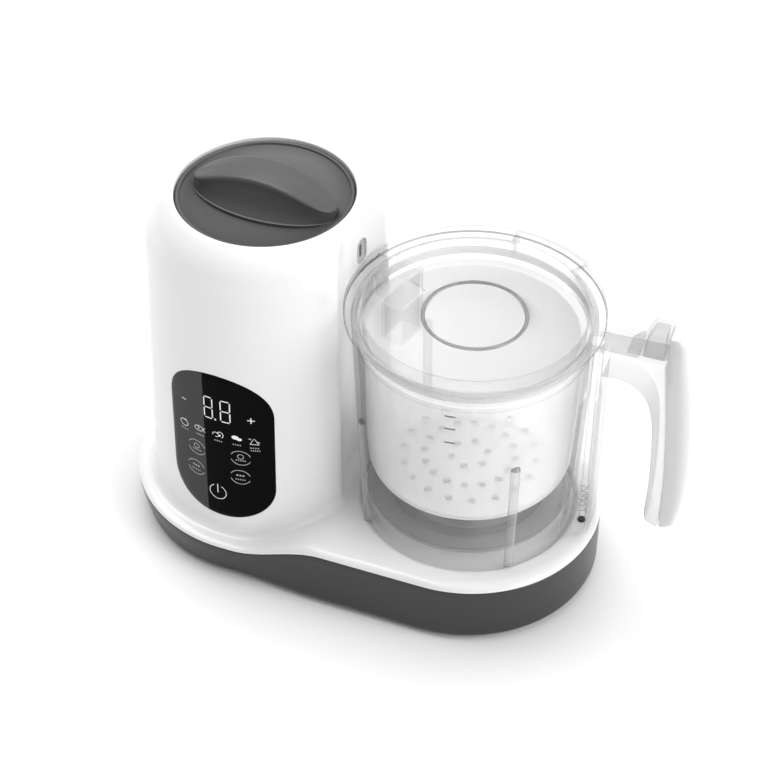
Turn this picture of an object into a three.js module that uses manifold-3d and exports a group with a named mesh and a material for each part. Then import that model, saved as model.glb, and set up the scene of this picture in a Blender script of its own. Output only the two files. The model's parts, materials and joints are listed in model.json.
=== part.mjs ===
// Steam cooker and blender for baby food: a water tower and a clear jug side by side on one low base.
// Millimetres, +Z up, +X from the tower towards the jug's handle. The feet stand on z = 0.
import * as THREE from "three";
import { mergeVertices } from "three/addons/utils/BufferGeometryUtils.js";
import Module from "manifold-3d";

const wasm = await Module();
wasm.setup();

// ---------- driving dimensions ----------
const GAP = 0.3; // clearance between neighbouring pieces
const WALL = 2.5; // housing wall
const FOOT = 2; // the skirt stands this far above the table

const TOWER_X = -70.85; // vertical axis of the water tower
const JUG_X = 33.65; // vertical axis of the jug
const HANDLE_TURN = THREE.MathUtils.degToRad(4); // the handle points this far off the +X axis
const PORT_TURN = THREE.MathUtils.degToRad(171); // direction of the steam port, seen from the jug's axis

const TOWER_LOBE = 70; // base outline: radius of the lobe under the tower
const JUG_LOBE = 65; // and of the lobe under the jug
const SEAM_LOW = 20; // height of the white and grey parting line round the tower
const SEAM_HIGH = 32.5; // and round the jug
const DECK_LOW = 22.5; // top of the deck round the tower
const DECK_HIGH = 36; // and round the jug
const WAVE_START = -62; // the deck climbs from low to high between these two X
const WAVE_END = -15;

const TOWER_FOOT_R = 61; // tower outside radius at the deck
const TOWER_TOP_R = 57; // and where the shoulder starts
const SHOULDER_Z = 164;
const SHOULDER_R = 22; // radius of the rounded shoulder
const LIP_R = 44.1; // white lip round the cap
const LIP_Z = 187.5;
const CAP_R = 41.4;
const CAP_Z = 186; // rim of the cap
const CAP_SEAT_Z = 177.5;
const SCOOP_R = 61.2; // the tower is hollowed to this radius about the jug's axis

const JUG_FOOT_R = 52; // jug outside radius at the bottom
const JUG_MOUTH_R = 56.5; // and at the rim
const JUG_FOOT_Z = 34.9;
const JUG_FLOOR_Z = 44.5;
const JUG_RIM_Z = 149.5;
const LEDGE_Z = 137; // the basket's rim rests on this ledge
const LID_R = 59.9;
const LID_FLANGE_Z = 149.9;
const LID_TOP_Z = 154.4;
const HANDLE_WIDTH = 16.4;
const HANDLE_REACH = 106.8; // outermost point of the handle from the jug's axis

const BELT_Z = 13; // underside of the toothed belt
const BELT_WIDTH = 6;
const MOTOR_PULLEY_R = 8;
const SPINDLE_PULLEY_R = 18;
const MOTOR = { x: TOWER_X + 18, y: 12, r: 20, bottom: 30, top: 84 };
const BOILER = { x: TOWER_X - 27, y: 8, r: 15, bottom: 8, top: 60 };
const TANK = { r: 33, bottom: 96, top: CAP_SEAT_Z - WALL - GAP, neck: 30 };

const WHITE = { color: 0xf4f4f3, roughness: 0.25, metalness: 0 };
const GREY = { color: 0x454547, roughness: 0.45, metalness: 0 };
const CLEAR = { color: 0xe9eef0, roughness: 0.05, metalness: 0 };
const FROSTED = { color: 0xeceeee, roughness: 0.5, metalness: 0 };
const BLACK = { color: 0x08080a, roughness: 0.08, metalness: 0 };
const STEEL = { color: 0xb9bcc0, roughness: 0.3, metalness: 1 };
const ALUMINIUM = { color: 0xa9acb0, roughness: 0.45, metalness: 1 };
const RUBBER = { color: 0x2a2a2c, roughness: 0.8, metalness: 0 };
const SILICONE = { color: 0xdedfdf, roughness: 0.6, metalness: 0 };
const BOARD = { color: 0x2e5c3c, roughness: 0.6, metalness: 0 };
const GREY_PLASTIC = { color: 0x8b8d90, roughness: 0.5, metalness: 0 };

// ---------- small tools ----------
// A closed three.js geometry as a solid that can be cut and joined.
function solid(geometry) {
  const plain = geometry.clone();
  plain.deleteAttribute("normal");
  plain.deleteAttribute("uv");
  const merged = mergeVertices(plain, 1e-4);
  return new wasm.Manifold(
    new wasm.Mesh({
      numProp: 3,
      vertProperties: new Float32Array(merged.attributes.position.array),
      triVerts: new Uint32Array(merged.index.array),
    }),
  );
}

function geometryOf(made) {
  const { numProp, numVert, vertProperties, triVerts } = made.getMesh();
  const positions = new Float32Array(numVert * 3);
  for (let i = 0; i < numVert; i++)
    positions.set(vertProperties.subarray(i * numProp, i * numProp + 3), i * 3);
  const geometry = new THREE.BufferGeometry();
  geometry.setAttribute("position", new THREE.BufferAttribute(positions, 3));
  geometry.setIndex(new THREE.BufferAttribute(triVerts, 1));
  return geometry;
}

const joined = (...pieces) => pieces.reduce((whole, piece) => whole.add(piece));

// The largest body of a cut solid, without the slivers that a cut along a shared face leaves.
const mainBody = (made) => made.decompose().sort((a, b) => b.volume() - a.volume())[0];

// A solid of revolution about the vertical line through (x, y), from [radius, height] pairs.
function turned(profile, { x = 0, y = 0, segments = 32 } = {}) {
  const onAxis = profile[0][0] === 0 && profile.at(-1)[0] === 0;
  const loop = onAxis ? profile : [...profile, profile[0]];
  let area = 0;
  loop.forEach(([r, z], i) => {
    const [nextR, nextZ] = loop[(i + 1) % loop.length];
    area += r * nextZ - nextR * z;
  });
  const points = loop.map(([r, z]) => new THREE.Vector2(r, z));
  if (area < 0) points.reverse();
  const geometry = new THREE.LatheGeometry(points, segments);
  geometry.rotateX(Math.PI / 2).translate(x, y, 0);
  return solid(geometry);
}

const disc = (r, low, high, place) => turned([[0, low], [r, low], [r, high], [0, high]], place);

const ring = (inner, outer, low, high, place) =>
  turned([[inner, low], [outer, low], [outer, high], [inner, high]], place);

// An outline in the XY plane, raised from low to high.
function raised(shape, low, high, curveSegments = 12) {
  const depth = high - low;
  const geometry = new THREE.ExtrudeGeometry(shape, { depth, bevelEnabled: false, curveSegments });
  return solid(geometry.translate(0, 0, low));
}

// An outline in the XZ plane, from y = back to y = front, where back < front.
function sideways(shape, back, front, curveSegments = 12) {
  const depth = front - back;
  const geometry = new THREE.ExtrudeGeometry(shape, { depth, bevelEnabled: false, curveSegments });
  return solid(geometry.rotateX(Math.PI / 2).translate(0, front, 0));
}

function box(low, high) {
  const size = low.map((value, i) => high[i] - value);
  const centre = low.map((value, i) => (high[i] + value) / 2);
  return solid(new THREE.BoxGeometry(...size).translate(...centre));
}

const outline = (points) => new THREE.Shape(points.map(([a, b]) => new THREE.Vector2(a, b)));

// A tube along a smooth curve through the given points.
function tube(points, r, steps, curveSegments = 4) {
  const path = new THREE.CatmullRomCurve3(points.map((p) => new THREE.Vector3(...p)));
  const section = new THREE.Shape().absarc(0, 0, r, 0, 2 * Math.PI);
  const settings = { steps, extrudePath: path, curveSegments, bevelEnabled: false };
  return solid(new THREE.ExtrudeGeometry(section, settings));
}

const product = new THREE.Group();
const jugGroup = new THREE.Group(); // pieces laid out about the jug's axis, with +X towards the handle
jugGroup.position.x = JUG_X;
jugGroup.rotation.z = HANDLE_TURN;
product.add(jugGroup);

function add(name, made, look, group = product) {
  const mesh = new THREE.Mesh(geometryOf(made), new THREE.MeshStandardMaterial(look));
  mesh.name = name;
  group.add(mesh);
}

// ---------- base outline ----------
// Two lobes joined by their outer tangents, grown by a margin.
function baseOutline(margin) {
  const big = TOWER_LOBE + margin;
  const small = JUG_LOBE + margin;
  const lean = Math.asin((big - small) / (JUG_X - TOWER_X));
  const upper = Math.PI / 2 - lean;
  const shape = new THREE.Shape();
  shape.absarc(JUG_X, 0, small, -upper, upper);
  shape.absarc(TOWER_X, 0, big, upper, 2 * Math.PI - upper);
  return shape;
}

// The side view of everything below a wave that climbs from low to high.
function belowWave(low, high) {
  const far = 200;
  const steps = 7;
  const points = [[far, 0], [far, high]];
  for (let i = steps; i >= 0; i--) {
    const t = i / steps;
    const climb = t * t * (3 - 2 * t);
    points.push([WAVE_START + t * (WAVE_END - WAVE_START), low + climb * (high - low)]);
  }
  points.push([-far, low], [-far, 0]);
  return sideways(outline(points), -far, far);
}

const BASE_TOP = 60;
const baseBlock = (margin, low = FOOT) => raised(baseOutline(margin), low, BASE_TOP, 12);

// ---------- tower outline ----------
const towerRadius = (z) =>
  THREE.MathUtils.mapLinear(z, DECK_LOW, SHOULDER_Z, TOWER_FOOT_R, TOWER_TOP_R);

// Outside of the tower from the foot to the lip, moved outwards by a margin.
function towerProfile(margin, foot) {
  const points = [[towerRadius(foot) + margin, foot]];
  const centreR = TOWER_TOP_R - SHOULDER_R;
  const end = Math.acos((LIP_R + 1 - centreR) / SHOULDER_R);
  const steps = 5;
  for (let i = 0; i <= steps; i++) {
    const angle = (end * i) / steps;
    const r = centreR + (SHOULDER_R + margin) * Math.cos(angle);
    points.push([r, SHOULDER_Z + (SHOULDER_R + margin) * Math.sin(angle)]);
  }
  return points;
}

const towerPlace = { x: TOWER_X, segments: 36 };
const towerBlock = (margin, foot) => {
  const side = towerProfile(margin, foot);
  return turned([[0, foot], ...side, [0, side.at(-1)[1]]], towerPlace);
};

// ---------- control panel ----------
const PANEL = { half: 27, low: 31, bend: 55, corner: 104, shoulder: 112, high: 120.5 };

function panelOutline(margin) {
  const half = PANEL.half + margin;
  const shape = new THREE.Shape();
  const low = PANEL.low - margin;
  const shoulder = PANEL.shoulder + margin;
  const left = TOWER_X - half;
  const right = TOWER_X + half;
  shape.moveTo(left, PANEL.bend);
  shape.bezierCurveTo(left, low + 9, TOWER_X - 15, low, TOWER_X, low);
  shape.bezierCurveTo(TOWER_X + 15, low, right, low + 9, right, PANEL.bend);
  shape.lineTo(right, PANEL.corner);
  shape.quadraticCurveTo(right, shoulder, right - 7, shoulder + 2);
  shape.quadraticCurveTo(TOWER_X, PANEL.high + 4 + margin, left + 7, shoulder + 2);
  shape.quadraticCurveTo(left, shoulder, left, PANEL.corner);
  return shape;
}

const panelBlock = (margin) => sideways(panelOutline(margin), -90, -30, 6);

function controlPanel() {
  const front = towerBlock(0.15, DECK_LOW + 2).intersect(panelBlock(0));
  return front.subtract(towerBlock(-1.2, DECK_LOW));
}

// ---------- housings ----------
const scoopPlace = { x: JUG_X, segments: 48 };
const PORT_Z = 159;

// An upright outline at the steam port, extruded along the port's direction from the jug's axis.
function towardsJug(shape, near, far) {
  const settings = { depth: far - near, bevelEnabled: false, curveSegments: 5 };
  const geometry = new THREE.ExtrudeGeometry(shape, settings);
  geometry.rotateX(Math.PI / 2).rotateZ(Math.PI / 2).translate(near, 0, PORT_Z);
  return solid(geometry.rotateZ(PORT_TURN).translate(JUG_X, 0, 0));
}

// The steam port's hole: a tall slot through the hollowed wall.
function portHole() {
  const half = 4;
  const tall = 7;
  const slot = new THREE.Shape();
  slot.absarc(0, tall - half, half, 0, Math.PI);
  slot.absarc(0, half - tall, half, Math.PI, 2 * Math.PI);
  return towardsJug(slot, SCOOP_R - 5, SCOOP_R + 5);
}

const CAP_WELL_R = CAP_R + 0.5;
const NECK_HOLE_R = TANK.neck + 0.4;

// Tower wall, shoulder, lip, cap well and well floor in one closed profile.
function towerShell() {
  const outside = towerProfile(0, DECK_LOW - 2);
  const inside = towerProfile(-WALL, DECK_LOW - 2).filter(([r]) => r > LIP_R + 1);
  const underFloor = CAP_SEAT_Z - WALL;
  const profile = [
    ...outside,
    [LIP_R, LIP_Z - 0.3],
    [CAP_WELL_R, LIP_Z - 1.2],
    [CAP_WELL_R, CAP_SEAT_Z],
    [NECK_HOLE_R, CAP_SEAT_Z],
    [NECK_HOLE_R, underFloor],
    [CAP_WELL_R + 1.6, underFloor],
    ...inside.reverse(),
  ];
  return turned(profile, towerPlace);
}

const BOSSES = [
  [TOWER_X - 44, -44],
  [TOWER_X - 44, 44],
  [JUG_X + 32, -47],
  [JUG_X + 32, 47],
];

function upperHousing() {
  const deckTop = belowWave(DECK_LOW, DECK_HIGH);
  const deckUnder = belowWave(DECK_LOW - WALL, DECK_HIGH - 3);
  const seam = belowWave(SEAM_LOW + GAP, SEAM_HIGH + GAP);
  const deck = baseBlock(0).intersect(deckTop).subtract(seam);
  const plate = baseBlock(-WALL).intersect(deckTop).subtract(deckUnder);
  const rim = deck.subtract(baseBlock(-WALL));
  const inside = disc(TOWER_FOOT_R - WALL, 0, DECK_HIGH + 9, towerPlace);
  const scoopWall = ring(SCOOP_R, SCOOP_R + WALL, DECK_HIGH - 3, LIP_Z, scoopPlace);
  const wall = scoopWall.intersect(towerBlock(0, DECK_LOW));
  const openTop = disc(CAP_WELL_R, CAP_SEAT_Z, LIP_Z + 10, towerPlace);
  const openNeck = disc(NECK_HOLE_R, CAP_SEAT_Z - 10, LIP_Z, towerPlace);
  const scoop = disc(SCOOP_R, DECK_HIGH, LIP_Z + 20, scoopPlace);
  const scoopFloor = disc(SCOOP_R, DECK_HIGH - 3, DECK_HIGH, scoopPlace).intersect(deckTop);
  const seat = disc(JUG_FOOT_R + 1, JUG_FOOT_Z - GAP, DECK_HIGH + 1, scoopPlace);
  const well = disc(17, 0, BASE_TOP, { x: JUG_X });
  let housing = joined(plate.subtract(inside), rim, towerShell());
  housing = housing.subtract(scoop);
  housing = joined(housing, wall.subtract(openTop).subtract(openNeck), scoopFloor);
  const panelRecess = panelBlock(GAP).subtract(towerBlock(-1.5, 0));
  housing = housing.subtract(joined(seat, well, portHole(), panelRecess, displayWindow()));
  for (const [x, y] of BOSSES) {
    const top = x < 0 ? DECK_LOW - 1 : DECK_HIGH - 1;
    housing = housing.add(disc(4, 8, top, { x, y, segments: 12 }));
    housing = housing.subtract(disc(1.6, 0, top - 3, { x, y, segments: 12 }));
  }
  return mainBody(housing.subtract(plungerHole()));
}

// Opening behind the black panel for the display board's light.
const displayWindow = () => box([TOWER_X - 16, -70, 88], [TOWER_X + 16, -40, 102]);

function skirt() {
  const shell = baseBlock(0).subtract(baseBlock(-WALL, 0));
  const hole = box([GLAND_X - 6.2, 40, 6], [GLAND_X + 6.2, 80, 17]);
  return shell.intersect(belowWave(SEAM_LOW, SEAM_HIGH)).subtract(hole);
}

const FEET = [
  [TOWER_X - 30, -42],
  [TOWER_X - 30, 42],
  [JUG_X + 18, -46],
  [JUG_X + 18, 46],
];

function bottomPlate() {
  let plate = raised(baseOutline(-WALL - GAP), FOOT, FOOT + WALL, 12);
  for (const [x, y] of FEET) plate = plate.subtract(disc(3, 0, 9, { x, y, segments: 12 }));
  for (const [x, y] of BOSSES) {
    plate = plate.subtract(disc(1.7, 0, 9, { x, y, segments: 12 }));
    plate = plate.subtract(disc(3.4, 0, FOOT + 1.4, { x, y, segments: 12 }));
  }
  const slots = 6;
  for (let i = 0; i < slots; i++) {
    const x = TOWER_X + 2 + 7 * i;
    plate = plate.subtract(box([x, -34, 0], [x + 3, -14, 9]));
  }
  return plate;
}

// ---------- base: feet, screws, cord inlet ----------
const foot = ([x, y]) =>
  turned(
    [[0, 0], [8, 0], [8.5, 0.6], [8.5, FOOT - GAP], [2.7, FOOT - GAP], [2.7, 6], [0, 6]],
    { x, y, segments: 12 },
  );

const baseScrew = ([x, y]) =>
  turned([[0, 2.2], [3, 2.2], [3, 3.1], [1.3, 3.1], [1.3, 16], [0, 16]], { x, y, segments: 8 });

const GLAND_X = TOWER_X + 42;
function cordGland() {
  const sleeve = disc(5.2, -69.6, -56, { segments: 20 });
  const nut = disc(6.7, -65, -61, { segments: 20 });
  const bore = disc(3.4, -72, -54, { segments: 20 });
  const gland = joined(sleeve, nut).subtract(bore);
  return gland.rotate([90, 0, 0]).translate([GLAND_X, 0, 11.5]);
}

// ---------- drive: motor, belt, spindle ----------
const atMotor = { x: MOTOR.x, y: MOTOR.y };
const atJug = { x: JUG_X };

function motorHousing() {
  const can = turned(
    [
      [0, MOTOR.bottom], [MOTOR.r - 2, MOTOR.bottom], [MOTOR.r, MOTOR.bottom + 2],
      [MOTOR.r, MOTOR.top - 3], [MOTOR.r - 3, MOTOR.top], [0, MOTOR.top],
    ],
    { ...atMotor, segments: 20 },
  );
  return can.subtract(disc(3.4, 0, MOTOR.bottom + 40, atMotor));
}

const BRACKET = { x: 24, back: 22.5, front: 25.5, low: 26.6, high: 29.4 };
function motorBracket() {
  const plate = box(
    [MOTOR.x - BRACKET.x, MOTOR.y - BRACKET.front, BRACKET.low],
    [MOTOR.x + BRACKET.x, MOTOR.y + BRACKET.back, BRACKET.high],
  );
  return plate.subtract(disc(9, 20, 40, atMotor));
}

const DAMPERS = [[-19, -20.5], [-19, 17.5], [19, -20.5], [19, 17.5]];
const damper = ([x, y]) =>
  turned(
    [[0, 4.8], [4, 4.8], [4, 12], [3, 15.5], [4, 19], [4, BRACKET.low - GAP], [0, BRACKET.low - GAP]],
    { x: MOTOR.x + x, y: MOTOR.y + y, segments: 8 },
  );

// A flanged pulley that carries the belt at BELT_Z.
const pulley = (r) => [
  [0, BELT_Z - 2], [r + 1.5, BELT_Z - 2], [r + 1.5, BELT_Z - 0.5], [r, BELT_Z - 0.5],
  [r, BELT_Z + BELT_WIDTH + 0.5], [r + 1.5, BELT_Z + BELT_WIDTH + 0.5],
  [r + 1.5, BELT_Z + BELT_WIDTH + 2], [0, BELT_Z + BELT_WIDTH + 2],
];

function motorRotor() {
  const shaft = disc(3, 7, MOTOR.bottom + 39, { ...atMotor, segments: 16 });
  return joined(shaft, turned(pulley(MOTOR_PULLEY_R), { ...atMotor, segments: 20 }));
}

function coolingFan() {
  const low = BELT_Z + BELT_WIDTH + 2.6;
  const hub = ring(3.3, 6, low, low + 3, { ...atMotor, segments: 20 });
  let fan = hub;
  const blades = 6;
  for (let i = 0; i < blades; i++) {
    const vane = new THREE.BoxGeometry(9.5, 1, 2.6).rotateX(0.25).translate(10, 0, low + 1.5);
    vane.rotateZ((2 * Math.PI * i) / blades).translate(MOTOR.x, MOTOR.y, 0);
    fan = fan.add(solid(vane));
  }
  return fan;
}

function beltOutline(margin) {
  const from = new THREE.Vector2(MOTOR.x, MOTOR.y);
  const to = new THREE.Vector2(JUG_X, 0);
  const heading = to.clone().sub(from).angle();
  const small = MOTOR_PULLEY_R + margin;
  const big = SPINDLE_PULLEY_R + margin;
  const lean = Math.asin((big - small) / from.distanceTo(to));
  const side = Math.PI / 2 + lean;
  const shape = new THREE.Shape();
  shape.absarc(to.x, to.y, big, heading - side, heading + side);
  shape.absarc(from.x, from.y, small, heading + side, heading - side + 2 * Math.PI);
  return shape;
}

const belt = () =>
  raised(beltOutline(1.6), BELT_Z, BELT_Z + BELT_WIDTH, 12).subtract(
    raised(beltOutline(GAP), BELT_Z - 1, BELT_Z + BELT_WIDTH + 1, 12),
  );

function spindle() {
  const shaft = disc(3, 7, 34, { ...atJug, segments: 16 });
  return joined(shaft, turned(pulley(SPINDLE_PULLEY_R), { ...atJug, segments: 20 }));
}

const bearingHousing = () =>
  turned(
    [
      [3.1, 22.5], [9, 22.5], [9, 29], [21, 29], [21, 32.7], [16.5, 32.7],
      [16.5, 33.4], [9, 33.4], [9, 33.9], [3.1, 33.9],
    ],
    { ...atJug, segments: 18 },
  );

const COUPLING_LOBES = 4;
// A cross of lobes about the jug's axis: solid on the driving half, hollow in the driven half.
function lobes(r, width, low, high) {
  let made = disc(r * 0.62, low, high, { segments: 16 });
  for (let i = 0; i < COUPLING_LOBES / 2; i++) {
    const bar = new THREE.BoxGeometry(2 * r, width, high - low).rotateZ((Math.PI * i) / 2);
    made = made.add(solid(bar.translate(0, 0, (low + high) / 2)));
  }
  return made;
}

const driveCoupling = () => {
  const low = 34.4;
  return joined(disc(10, low, low + 1.2, { segments: 24 }), lobes(8, 4, low, 38.6));
};

// ---------- water and steam ----------
function waterTank() {
  const { r, bottom, top, neck } = TANK;
  const wall = 2;
  const neckTop = CAP_SEAT_Z + 2.5;
  const profile = [
    [0, bottom], [r, bottom], [r, top], [neck, top], [neck, neckTop], [neck - wall, neckTop],
    [neck - wall, top - wall], [r - wall, top - wall], [r - wall, bottom + wall], [0, bottom + wall],
  ];
  const cup = turned(profile, { x: TOWER_X, segments: 28 });
  const outlet = { x: BOILER.x, y: BOILER.y, segments: 12 };
  return cup.subtract(disc(1.6, bottom - 1, bottom + wall + 1, outlet));
}

const boiler = () => {
  const { x, y, r, bottom, top } = BOILER;
  const place = { x, y, segments: 18 };
  const body = turned(
    [[0, bottom], [r, bottom], [r, top - 6], [r - 4, top], [0, top]],
    place,
  );
  const bands = [18, 32].map((z) => ring(r - 1, r + 1.5, bottom + z, bottom + z + 6, place));
  return joined(body, ...bands);
};

const boilerStand = () => {
  const place = { x: BOILER.x, y: BOILER.y, segments: 16 };
  return ring(BOILER.r - 5, BOILER.r, FOOT + WALL + GAP, BOILER.bottom - GAP, place);
};

const waterHose = () =>
  ring(1.6, 3.2, BOILER.top + GAP, TANK.bottom - GAP, { x: BOILER.x, y: BOILER.y, segments: 10 });

const thermostat = () => {
  const { x, y, r } = BOILER;
  return box([x - 6, y + r + 1.8, 24], [x + 6, y + r + 7, 50]);
};

const NOZZLE_BACK = SCOOP_R + 4.4;
// Soft steam nozzle: a tall rounded plug with a slit, set back in the port.
function steamNozzle() {
  const half = 3.6;
  const tall = 6.6;
  const body = new THREE.Shape();
  body.absarc(0, tall - half, half, 0, Math.PI);
  body.absarc(0, half - tall, half, Math.PI, 2 * Math.PI);
  const slit = new THREE.Path();
  slit.moveTo(-0.7, -3).lineTo(0.7, -3).lineTo(0.7, 3).lineTo(-0.7, 3).closePath();
  body.holes.push(slit);
  return towardsJug(body, SCOOP_R + 0.9, NOZZLE_BACK);
}

function steamTube() {
  const start = [BOILER.x + 8, BOILER.y, BOILER.top + GAP];
  const reach = NOZZLE_BACK + 2.4;
  const end = [JUG_X + reach * Math.cos(PORT_TURN), reach * Math.sin(PORT_TURN) + 1, PORT_Z - 4];
  return tube(
    [
      start,
      [start[0], start[1] + 1, 68],
      [TOWER_X - 12, 38, 84],
      [TOWER_X + 6, 45, 108],
      [TOWER_X + 28, 38, 132],
      [end[0] - 1.5, end[1] + 8, 148],
      end,
    ],
    1.8,
    26,
  );
}

// ---------- electronics ----------
function powerBoard() {
  const back = -30;
  const plate = box([TOWER_X - 30, back, FOOT + WALL + GAP], [TOWER_X + 30, back + 1.6, 88]);
  const relay = box([TOWER_X - 26, back - 12, 40], [TOWER_X - 8, back + 0.1, 56]);
  const coil = box([TOWER_X + 2, back - 14, 38], [TOWER_X + 20, back + 0.1, 58]);
  const capacitor = box([TOWER_X - 20, back - 11, 66], [TOWER_X - 4, back + 0.1, 78]);
  return joined(plate, relay, coil, capacitor);
}

function displayBoard() {
  const front = -48;
  const plate = box([TOWER_X - 21, front, 48], [TOWER_X + 21, front + 1.6, 112]);
  const digits = box([TOWER_X - 14, front - 5.6, 90], [TOWER_X + 14, front + 0.1, 100]);
  return joined(plate, digits);
}

// ---------- lid interlock ----------
const ROD_X = 57.5; // from the jug's axis, in the jug's turned frame
const rodPlace = { x: ROD_X, segments: 12 };
function plungerHole() {
  const x = JUG_X + ROD_X * Math.cos(HANDLE_TURN);
  const y = ROD_X * Math.sin(HANDLE_TURN);
  return disc(2.4, 20, 60, { x, y, segments: 12 });
}

const switchBody = () => {
  const body = box([ROD_X - 4, -9, 21], [ROD_X + 4, 9, 30]);
  return body.subtract(disc(2.4, 26, 40, rodPlace));
};

const switchPlunger = () => disc(2, 28, 36.6, rodPlace);

const ROD_TOP = 145;
const interlockRod = () =>
  joined(
    disc(1.6, 37, ROD_TOP, rodPlace),
    disc(2.4, 60, 62, rodPlace),
    disc(2.6, ROD_TOP - 3, ROD_TOP, rodPlace),
  );

function interlockSpring() {
  const turns = 5;
  const low = 41.5;
  const high = 59;
  const points = [];
  const perTurn = 8;
  for (let i = 0; i <= turns * perTurn; i++) {
    const angle = (2 * Math.PI * i) / perTurn;
    const z = low + ((high - low) * i) / (turns * perTurn);
    points.push([ROD_X + 2.2 * Math.cos(angle), 2.2 * Math.sin(angle), z]);
  }
  return tube(points, 0.25, turns * perTurn, 2);
}

// ---------- jug ----------
const jugPlace = { segments: 36 };
const jugOuter = (z) => THREE.MathUtils.mapLinear(z, JUG_FOOT_Z, JUG_RIM_Z, JUG_FOOT_R, JUG_MOUTH_R);
const JUG_WALL = 2.2;
const MOUTH_INNER_R = 54.3;
const BORE_R = 6.5;
const BOSS_Z = 48.5;

function jugShell() {
  const under = JUG_FLOOR_Z - 2.2;
  const profile = [
    [jugOuter(JUG_FOOT_Z) - 2.4, JUG_FOOT_Z],
    [jugOuter(JUG_FOOT_Z), JUG_FOOT_Z],
    [JUG_MOUTH_R, JUG_RIM_Z],
    [MOUTH_INNER_R, JUG_RIM_Z],
    [MOUTH_INNER_R, LEDGE_Z],
    [jugOuter(LEDGE_Z) - JUG_WALL - 1.1, LEDGE_Z],
    [jugOuter(LEDGE_Z - 6) - JUG_WALL, LEDGE_Z - 6],
    [jugOuter(JUG_FLOOR_Z) - JUG_WALL, JUG_FLOOR_Z + 3],
    [jugOuter(JUG_FLOOR_Z) - JUG_WALL - 3, JUG_FLOOR_Z],
    [16, JUG_FLOOR_Z],
    [11, JUG_FLOOR_Z + 2],
    [9.5, BOSS_Z],
    [BORE_R, BOSS_Z],
    [BORE_R, under],
    [jugOuter(JUG_FOOT_Z) - 2.4, under],
  ];
  return turned(profile, jugPlace);
}

const RIBS = [45, 135, 225, 313];
function jugRib(degrees) {
  const low = JUG_FOOT_Z + 2;
  const high = 101;
  const angle = THREE.MathUtils.degToRad(degrees) - HANDLE_TURN;
  const lean = (jugOuter(high) - jugOuter(low)) / (high - low);
  const rib = new THREE.CylinderGeometry(2.3, 2.3, high - low, 10).rotateX(Math.PI / 2);
  rib.rotateY(Math.atan(lean)).translate(jugOuter((low + high) / 2) + 0.2, 0, (low + high) / 2);
  return solid(rib.rotateZ(angle));
}

// Square column under the handle that hides the interlock rod.
const COLUMN_TOP = 148;
function column(margin, low, high) {
  const near = 50;
  const half = 9 - margin;
  const root = 16 - margin;
  const far = 62 - margin;
  const shape = outline([[near, -root], [far, -half], [far, half], [near, root]]);
  return raised(shape, low, high);
}

function columnPieces() {
  const shell = column(0, JUG_FOOT_Z + 1.5, COLUMN_TOP);
  const core = column(1.8, JUG_FOOT_Z, 118);
  const keepOut = turned(
    [
      [0, 0], [jugOuter(JUG_FOOT_Z) - 1, 0], [jugOuter(JUG_FOOT_Z) - 1, JUG_FOOT_Z],
      [jugOuter(118) - 1, 118], [0, 118],
    ],
    jugPlace,
  );
  const rodBore = disc(3.4, 60, COLUMN_TOP + 1, rodPlace);
  const bush = joined(disc(5, 63.5, 66, rodPlace), disc(5, 39, 41, rodPlace)).intersect(shell);
  const rodSlide = disc(2.2, 20, 70, rodPlace);
  const hollow = core.subtract(keepOut);
  return { shell: joined(shell.subtract(hollow), bush), cut: joined(rodSlide, rodBore) };
}

// Side view of the handle: an arm and the clear inner strip, then the white outer shell.
function handleCoreOutline() {
  const shape = new THREE.Shape();
  shape.moveTo(56, 135.6);
  shape.lineTo(68, 136.4);
  shape.bezierCurveTo(79, 135.5, 85.5, 130, 87.2, 112.6);
  shape.bezierCurveTo(88.6, 98, 89.2, 78, 88.2, 62);
  shape.bezierCurveTo(88, 54, 90, 50, 95.2, 49);
  shape.lineTo(95.6, 62);
  shape.bezierCurveTo(96, 84, 94.6, 108, 90.4, 149.2);
  shape.lineTo(56, 149.2);
  return shape;
}

function handleShellOutline() {
  const shape = new THREE.Shape();
  shape.moveTo(91.2, 150);
  shape.bezierCurveTo(95.2, 108, 96.5, 84, 96, 62);
  shape.lineTo(95.7, 48);
  shape.bezierCurveTo(98, 44, 100.5, 46, 102, 49);
  shape.bezierCurveTo(105.5, 57, HANDLE_REACH, 72, HANDLE_REACH, 84);
  shape.bezierCurveTo(HANDLE_REACH, 106, 104.5, 128, 100.4, 154);
  shape.bezierCurveTo(99, 161, 96, 163, 91, 162.5);
  return shape;
}

const SPOUT = { from: 56, to: 94, r: 65.5, low: 138 };
// A slice of a ring between two directions given in degrees.
function arcSlice(inner, outer, from, to, low, high) {
  const start = THREE.MathUtils.degToRad(from) - HANDLE_TURN;
  const end = THREE.MathUtils.degToRad(to) - HANDLE_TURN;
  const shape = new THREE.Shape();
  shape.absarc(0, 0, outer, start, end);
  shape.absarc(0, 0, inner, end, start, true);
  return raised(shape, low, high, 14);
}

function jugBody() {
  const { shell, cut } = columnPieces();
  const half = HANDLE_WIDTH / 2;
  const arm = sideways(handleCoreOutline(), -half, half, 6);
  const spout = arcSlice(55.2, SPOUT.r, SPOUT.from, SPOUT.to, SPOUT.low, JUG_RIM_Z);
  const pourR = SPOUT.r - JUG_WALL;
  const pour = arcSlice(50, pourR, SPOUT.from + 2, SPOUT.to - 2, SPOUT.low + 3, JUG_RIM_Z + 1);
  const bowl = disc(jugOuter(60) - 0.5, 0, 200, jugPlace);
  let jug = joined(shell, arm, spout).subtract(bowl);
  jug = joined(jug, jugShell());
  jug = jug.subtract(pour).subtract(disc(MOUTH_INNER_R, LEDGE_Z, 200, jugPlace));
  for (const degrees of RIBS) jug = jug.add(jugRib(degrees));
  return jug.subtract(cut);
}

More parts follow.
